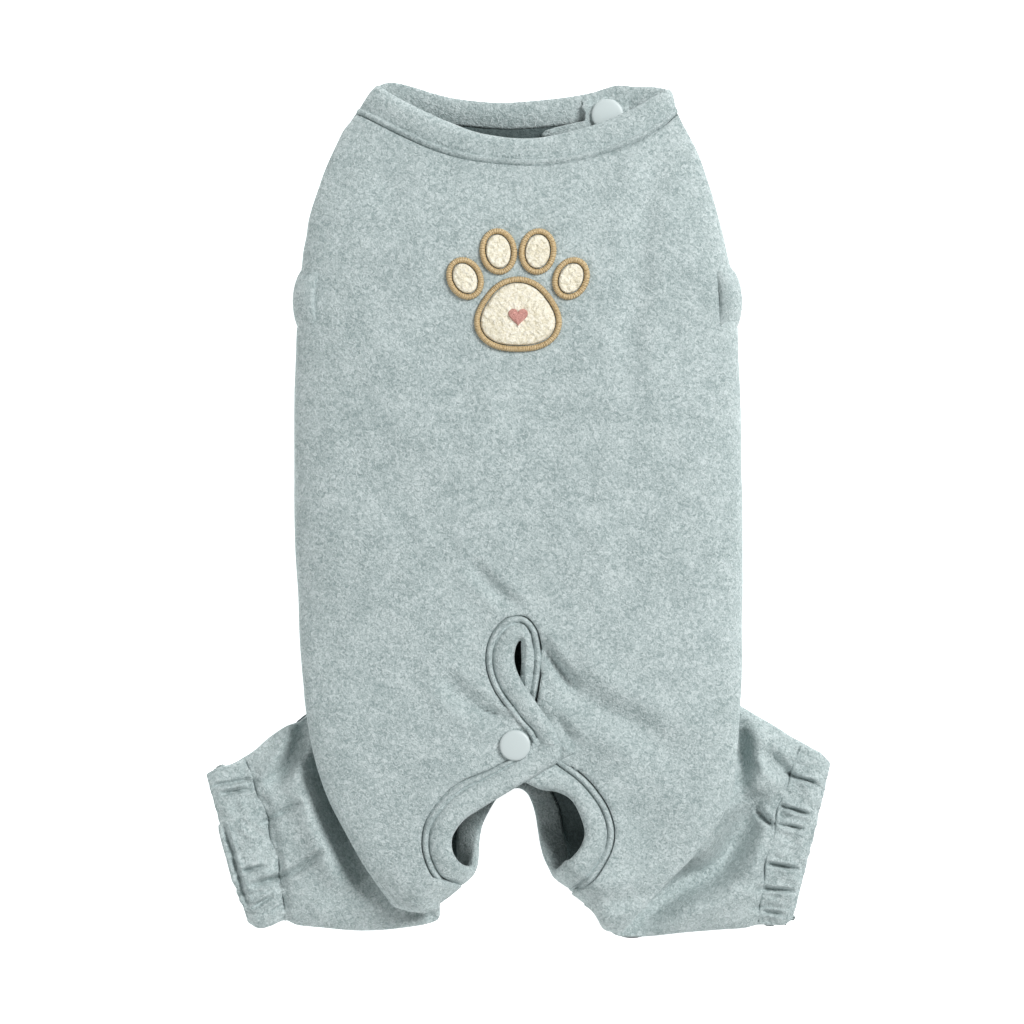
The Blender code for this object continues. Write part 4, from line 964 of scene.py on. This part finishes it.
def tube(table, s, turns, folds, seed):
    """A flattened tube between its top and bottom edges in plan, read at the row numbers s.

    Its section is a rounded oval. Gathers are narrow valleys that run along the tube, deepest
    at the cuff's seam and fading into the leg, and missing at the tube's two edges. The seam
    is a narrow groove and bows towards the leg. Folds press the upper side down, never to less
    than room above the lower one.
    """
    dense = smooth(table, 600, even=False)
    at = np.linspace(0, len(table) - 1, 600)
    values = np.stack([np.interp(s, at, column) for column in dense.T], 1)
    top, bottom, over = values[:, 0:2], values[:, 2:4], values[:, 4:5] / 2
    run = bottom - top
    half = np.linalg.norm(run, axis=1)[:, None] / 2
    direction = run / (2 * half)
    angle = 2 * np.pi * np.arange(turns) / turns
    across = np.sign(np.cos(angle)) * np.abs(np.cos(angle)) ** 0.85
    round_z = np.sign(np.sin(angle)) * np.abs(np.sin(angle)) ** 0.8
    plan = ((top + bottom) / 2)[:, None] + direction[:, None] * (half * across)[..., None]
    z = over + over * round_z
    centres = (top + bottom) / 2
    ahead = np.gradient(centres, axis=0)
    ahead /= np.linalg.norm(ahead, axis=1, keepdims=True)
    row = s[:, None] - CUFF_SEAM_ROW
    # the bow fades with the square across and over about two rows, with a fine wave on it
    bow = SEAM_BOW * (1 - across ** 2) * np.exp(-(row / 1.6) ** 2)
    bow = bow + 0.7 * np.sin(11 * across + seed) * (1 - across ** 2) * np.exp(-(row / 0.5) ** 2)
    plan = plan - ahead[:, None] * bow[..., None]
    x, y = plan[..., 0], plan[..., 1]
    # nine gathers over each side, bent and weighted by slow sines round the tube
    rng = np.random.default_rng(seed)
    bend = 0.9 * np.sin(3 * angle + rng.uniform(0, 6))
    bend = bend + 0.7 * np.sin(5 * angle + rng.uniform(0, 6))
    weight = 0.65 + 0.35 * np.sin(4 * angle + rng.uniform(0, 6)) * np.sin(7 * angle + 1)
    valley = (1 - np.abs(np.sin(9 * angle + bend))) ** 2.2 * weight * (1 - across ** 6)
    reach = np.where(row > 0, 0.55 + 0.45 * np.exp(-(row / 0.7) ** 2), np.exp(-(row / 0.55) ** 2))
    stitch = np.exp(-(row / 0.07) ** 2)
    puff = 0.35 * waves(x, y, 7, seed + 5) + 0.18 * waves(x, y, 3.6, seed + 6)
    near = np.exp(-(row / 1.2) ** 2) + (row > 0)
    upper = np.clip(round_z, 0, 1) ** 0.4
    press = fold_depth(x, y, folds) + 0.35 * waves(x, y, 24, seed)
    held = 0.55 + 0.45 * np.sin(13 * angle + seed)
    sink = GATHER * valley[None] * reach + SEAM_DEPTH * stitch * held
    sink = sink - puff * np.clip(near, 0, 1)
    room = over - over * np.abs(round_z) + 2 * CLOTH + 0.2
    pressed = np.maximum(z - upper * (press + sink), np.minimum(z, room))
    raised = z + GATHER_BELOW * valley[None] * reach * np.clip(-4 * round_z, 0, 1)
    z = np.where(round_z > 0, pressed, raised)
    return np.dstack([x, y, np.clip(z, 0.05, None)])


class JUMPSUIT_OT_legs(bpy.types.Operator):
    """Makes the two hind legs and their gathered cuffs, each a flattened tube"""

    bl_idname = "jumpsuit.legs"
    bl_label = "Hind legs and cuffs"

    def execute(self, context):
        pairs = (("left", LEFT_LEG, LEFT_LEG_FOLDS, 11), ("right", RIGHT_LEG, RIGHT_LEG_FOLDS, 17))
        for side, table, folds, seed in pairs:
            turns = 230
            rows = 1 - (1 - np.linspace(0, 1, 86)) ** 1.5
            leg = tube(table, rows * (CUFF_SEAM_ROW + 0.03), turns, folds, seed)
            faces = cells(*leg.shape[:2], ring_u=True)
            if not faces_out(leg):
                faces = faces[:, ::-1]
            node = "hind_leg_" + side
            piece = add_piece("leg_" + side, leg, faces, "fleece", node)
            thicken(piece)
            turns = 420
            last = len(table) - 1
            rows = CUFF_SEAM_ROW + (last - CUFF_SEAM_ROW) * np.linspace(0, 1, 40) ** 1.5
            outer = tube(table, rows, turns, folds, seed)
            outward = faces_out(outer)
            normal = normals(outer, ring_u=True) * (1 if outward else -1)
            # beside the seam's steep groove the wall takes the normals of the row after it
            plain = np.abs(rows - CUFF_SEAM_ROW) < 0.3
            normal[plain] = normal[np.argmin(plain)]
            inner = outer - normal * CLOTH
            middle = (outer[-1] + inner[-1]) / 2
            ahead = outer[-1] - outer[-2]
            ahead /= np.linalg.norm(ahead, axis=1, keepdims=True)
            turn = np.radians([30, 60, 90, 120, 150])[:, None, None]
            rim = middle + np.cos(turn) * (outer[-1] - middle) + np.sin(turn) * ahead
            wall = np.concatenate([outer, rim, inner[::-1]])
            wall[..., 2] = np.clip(wall[..., 2], 0.02, None)
            faces = cells(*wall.shape[:2], ring_u=True, ring_v=True)
            if not outward:
                faces = faces[:, ::-1]
            add_piece("cuff_" + side, wall, faces, "fleece", "leg_cuff_" + side)
        return {"FINISHED"}


class JUMPSUIT_OT_arms(bpy.types.Operator):
    """Makes the bands of the two front-leg holes, each a rounded sleeve through the side"""

    bl_idname = "jumpsuit.arms"
    bl_label = "Front-leg bands"

    def execute(self, context):
        turns = 160
        angle = 2 * np.pi * np.arange(turns) / turns
        # millimetres added to the oval, and the way out along its axis
        profile = np.array([
            (0, -6.5), (0.1, 0), (0.05, 3.2), (-0.4, 4.3), (-1.3, 4.8), (-2.2, 4.3), (-2.6, 3.2),
            (-2.6, 0), (-2.6, -6.5),
        ])
        for side, where in (("left", -1), ("right", 1)):
            centre, axis, width = arm_frame(where)
            grow, reach = profile[:, 0:1] + ARM_BAND, profile[:, 1:2]
            ring = centre + axis * reach[..., None]
            ring = ring + width * ((ARM_HOLE[0] + grow) * np.sin(angle))[..., None]
            ring = ring + np.array([0, 1, 0]) * ((ARM_HOLE[1] + grow) * np.cos(angle))[..., None]
            faces = cells(*ring.shape[:2], ring_u=True, ring_v=True)
            away = ring[1] - centre
            if (away * normals(ring, ring_u=True)[1]).sum() < 0:
                faces = faces[:, ::-1]
            add_piece("arm_rib_" + side, ring, faces, "fleece", "arm_band_" + side)
        return {"FINISHED"}


def lathe(name, profile, centre, node):
    """Turns a profile of radius and height round an upright axis, closed at both ends."""
    turns = 96
    profile = np.asarray(profile, float)
    angle = 2 * np.pi * np.arange(turns) / turns
    radius, height = profile[:, 0:1], profile[:, 1:2]
    grid = np.dstack([
        centre[0] + radius * np.cos(angle), centre[1] + radius * np.sin(angle),
        centre[2] + height + 0 * angle])
    faces = cells(*grid.shape[:2], ring_u=True)
    last = np.arange(turns) + (len(profile) - 1) * turns
    caps = [np.arange(turns)[::-1], last]
    return add_piece(name, grid, faces, "snap", node, caps)


class JUMPSUIT_OT_snaps(bpy.types.Operator):
    """Makes the tail snap and the neck snap: low round caps, turned from a profile"""

    bl_idname = "jumpsuit.snaps"
    bl_label = "Snaps"

    def execute(self, context):
        x, y = TAIL_SNAP
        z = float(body_height(np.array([x]), np.array([y]), lapped=False)[0])
        cap = [
            (4.9, -5.4), (4.9, -4.2), (2.0, -4.1), (2.0, -0.4), (5.6, -0.3), (6.0, 0.0),
            (6.15, 0.35), (6.05, 0.75), (5.7, 1.05), (5.1, 1.22), (4.0, 1.34), (2.6, 1.42),
            (1.2, 1.46), (0.15, 1.47),
        ]
        lathe("tail_snap_cap", cap, (x, y, z + 0.6), "tail_snap")
        # the far cap has a plain stem in place of the socket's foot
        cap = [(2.0, -4.0)] + [(1.06 * r, h) for r, h in cap[3:]]
        lathe("neck_snap_cap", cap, NECK_SNAP, "neck_snap")
        return {"FINISHED"}


def oval(centre, size, turn, angle, lobes=0.0):
    """A closed outline at the given angles: an oval, or a rounded three-lobed pad."""
    width = settings().patch_width / MM
    swell = 1 + lobes * np.cos(3 * (angle - np.pi / 2))
    x, y = size[0] * swell * np.cos(angle), size[1] * swell * np.sin(angle)
    ct, st = np.cos(turn), np.sin(turn)
    shape = np.stack([centre[0] + ct * x - st * y, centre[1] + st * x + ct * y], 1) * width
    return shape + PATCH_CENTRE


def on_back(plan, lift):
    """Points laid on the back at a lift above it."""
    return np.dstack([plan, body_height(plan[..., 0], plan[..., 1]) + lift])


def plush_shape(name, outline, height, look, node, curl=0.22):
    """A domed plate over an outline: rings shrink to its middle as the height rises.

    The dome is the fourth root of one less the ring's share to the sixth, roughened by curls.
    """
    rings = 26
    share = np.linspace(1, 0.02, rings)[:, None, None]
    centre = outline.mean(0)
    plan = centre + (outline - centre)[None] * share
    dome = (1 - share[..., 0] ** 6) ** (1 / 4)
    x, y = plan[..., 0], plan[..., 1]
    rough = curl * waves(x, y, 2.6, 41) + 0.6 * curl * waves(x, y, 1.5, 42)
    lift = 0.35 + (height - 0.35) * dome + rough * dome
    foot = on_back(plan[:1], np.full(plan[:1].shape[:2], 0.2))
    grid = np.concatenate([foot, on_back(plan, lift)])
    faces = cells(*grid.shape[:2], ring_u=True)
    count = len(outline)
    first, last = np.arange(count), np.arange(count) + rings * count
    caps = [first[::-1], last]
    if normals(grid, ring_u=True)[rings // 2, 0, 2] < 0:
        faces, caps = faces[:, ::-1], [first, last[::-1]]
    along = np.broadcast_to(np.arange(count)[None], (rings + 1, count))
    rows = np.broadcast_to(np.arange(rings + 1)[:, None], (rings + 1, count))
    return add_piece(name, grid, faces, look, node, caps, np.dstack([along, rows]))


def satin_edge(name, outline, node):
    """A stitched edge: a half-round rib carried round an outline, rippled by its threads."""
    centre = outline.mean(0)
    step = np.roll(outline, -1, 0) - np.roll(outline, 1, 0)
    away = np.stack([step[:, 1], -step[:, 0]], 1)
    away *= np.sign((away * (outline - centre)).sum())
    away /= np.linalg.norm(away, axis=1, keepdims=True)
    length = np.concatenate([[0], np.cumsum(np.hypot(*np.diff(outline, axis=0).T))])
    threads = np.round(length[-1] * MM / settings().thread_pitch)
    phase = 2 * np.pi * threads * np.arange(len(outline)) / len(outline)
    angle = np.radians([0, 20, 45, 70, 90, 110, 135, 160, 180])
    ripple = 0.10 * np.cos(phase)[None]
    middle = outline + away * 1.45
    reach = (SATIN + ripple)[..., None] * np.cos(angle)[:, None, None]
    plan = middle[None] + away[None] * reach
    lift = 0.15 + (SATIN_RISE + 1.5 * ripple) * np.sin(angle)[:, None]
    grid = on_back(plan, lift)
    faces = cells(*grid.shape[:2], ring_u=True, ring_v=True)
    if normals(grid, ring_u=True)[4, 0, 2] < 0:
        faces = faces[:, ::-1]
    along = np.broadcast_to(phase[None] / (2 * np.pi) * 0.5, grid.shape[:2])
    rows = np.broadcast_to(np.linspace(0, 1, len(angle))[:, None], grid.shape[:2])
    uv = np.dstack([along, rows])
    return add_piece(name, grid, faces, "tan", node, uv=uv)


class JUMPSUIT_OT_patch(bpy.types.Operator):
    """Makes the paw patch: a plush pad and four toes in satin stitch, with a small heart"""

    bl_idname = "jumpsuit.patch"
    bl_label = "Paw patch"

    def execute(self, context):
        def ring(count):
            return 2 * np.pi * np.arange(count) / count

        # shares of the patch's width: centre, half width and half height, then the turn
        pad = [(0.0, -0.150), (0.270, 0.230), 0]
        outline = oval(*pad, ring(200), 0.07)
        plush_shape("paw_pad", outline, PLUSH_RISE, "cream", "patch_pad")
        satin_edge("paw_pad_edge", oval(*pad, ring(560), 0.07), "patch_border_pad")
        for number, (cx, cy, wide, high, turn) in enumerate(TOES, 1):
            toe = [(cx, cy), (wide, high), turn]
            name, node = f"paw_toe_{number}", f"patch_toe_{number}"
            outline = oval(*toe, ring(110))
            plush_shape(name, outline, PLUSH_RISE, "cream", node)
            satin_edge(name + "_edge", oval(*toe, ring(280)), f"patch_border_toe_{number}")
        # a heart: the cube of the sine across, and four cosines along
        t = ring(90)
        y = (13 * np.cos(t) - 5 * np.cos(2 * t) - 2 * np.cos(3 * t) - np.cos(4 * t)) / 16
        heart = np.stack([np.sin(t) ** 3, y], 1) * 4.05 + PATCH_CENTRE + np.array([0, -8.1])
        plush_shape("paw_heart", heart, HEART_RISE, "pink", "patch_heart", 0.05)
        return {"FINISHED"}


class JUMPSUIT_OT_stage(bpy.types.Operator):
    """Makes the plain floor, the soft studio lights and the camera straight above"""

    bl_idname = "jumpsuit.stage"
    bl_label = "Studio"

    def execute(self, context):
        reach, below = 4.0, -0.0004
        corners = [(x * reach, y * reach, below) for x, y in ((-1, -1), (1, -1), (1, 1), (-1, 1))]
        mesh = bpy.data.meshes.new("floor")
        mesh.from_pydata(corners, [], [(0, 1, 2, 3)])
        # matt white paper, lit from behind as on a light table, so that no shadow greys it
        material, tree, shader, place = new_finish("white_paper", 0.9, 0.2)
        grain = add_node(
            tree, "ShaderNodeTexNoise", {"Scale": 1 / (40 * MM), "Detail": 1.0}, {"Vector": place})
        tint = add_node(
            tree, "ShaderNodeValToRGB", links={"Fac": grain.outputs["Fac"]},
            stops=[(0.3, "#F8F8F8"), (0.7, "#FBFBFB")])
        tree.links.new(tint.outputs["Color"], shader.inputs["Base Color"])
        shader.inputs["Emission Color"].default_value = hexed("#FFFFFF")
        shader.inputs["Emission Strength"].default_value = 0.8
        mesh.materials.append(material)
        floor = bpy.data.objects.new("floor", mesh)
        context.scene.collection.objects.link(floor)

        def light(name, spot, size, power):
            data = bpy.data.lights.new(name, "AREA")
            data.shape = "SQUARE"
            data.size = size
            data.energy = power
            lamp = bpy.data.objects.new(name, data)
            context.scene.collection.objects.link(lamp)
            spot = np.array(spot)
            lamp.location = spot
            away = spot / np.linalg.norm(spot)
            lamp.rotation_euler = (np.arccos(away[2]), 0, np.arctan2(away[0], -away[1]))

        light("key", (2.3, 1.7, 2.8), 1.3, 162)
        light("fill", (-1.7, -1.4, 1.8), 2.0, 30)
        world = bpy.data.worlds.new("studio")
        context.scene.world = world
        world.use_nodes = True
        sky = world.node_tree.nodes["Background"]
        sky.inputs["Color"].default_value = (1, 1, 1, 1)
        sky.inputs["Strength"].default_value = 0.28
        context.scene.view_settings.view_transform = "Standard"

        height = settings().camera_height
        data = bpy.data.cameras.new("camera")
        data.sensor_width = 36
        data.lens = data.sensor_width * (height - VIEW_LEVEL) / VIEW_WIDTH
        data.clip_end = 20
        camera = bpy.data.objects.new("camera", data)
        camera.location = (-0.0026, -0.0012, height)
        context.scene.collection.objects.link(camera)
        context.scene.camera = camera
        return {"FINISHED"}


class JUMPSUIT_PT_panel(bpy.types.Panel):
    """Lists the pieces and the sizes"""

    bl_idname = "JUMPSUIT_PT_panel"
    bl_label = "Dog jumpsuit"
    bl_space_type = "VIEW_3D"
    bl_region_type = "UI"
    bl_category = "Jumpsuit"

    def draw(self, context):
        for key in JumpsuitSettings.__annotations__:
            self.layout.prop(settings(), key)
        for step in STEPS:
            self.layout.operator(step.bl_idname)


STEPS = (
    JUMPSUIT_OT_back, JUMPSUIT_OT_belly, JUMPSUIT_OT_neck, JUMPSUIT_OT_tab, JUMPSUIT_OT_tail,
    JUMPSUIT_OT_crotch, JUMPSUIT_OT_underlap, JUMPSUIT_OT_legs, JUMPSUIT_OT_arms,
    JUMPSUIT_OT_snaps, JUMPSUIT_OT_patch, JUMPSUIT_OT_stage,
)
CLASSES = (JumpsuitSettings, *STEPS, JUMPSUIT_PT_panel)


def register():
    for item in CLASSES:
        bpy.utils.register_class(item)
    bpy.types.Scene.jumpsuit = bpy.props.PointerProperty(type=JumpsuitSettings)


def unregister():
    del bpy.types.Scene.jumpsuit
    for item in reversed(CLASSES):
        bpy.utils.unregister_class(item)


def main():
    """Makes every piece in order."""
    register()
    for step in STEPS:
        group, name = step.bl_idname.split(".")
        if getattr(getattr(bpy.ops, group), name)() != {"FINISHED"}:
            raise RuntimeError(step.bl_label + " wasn't made")


if __name__ == "__main__":
    main()
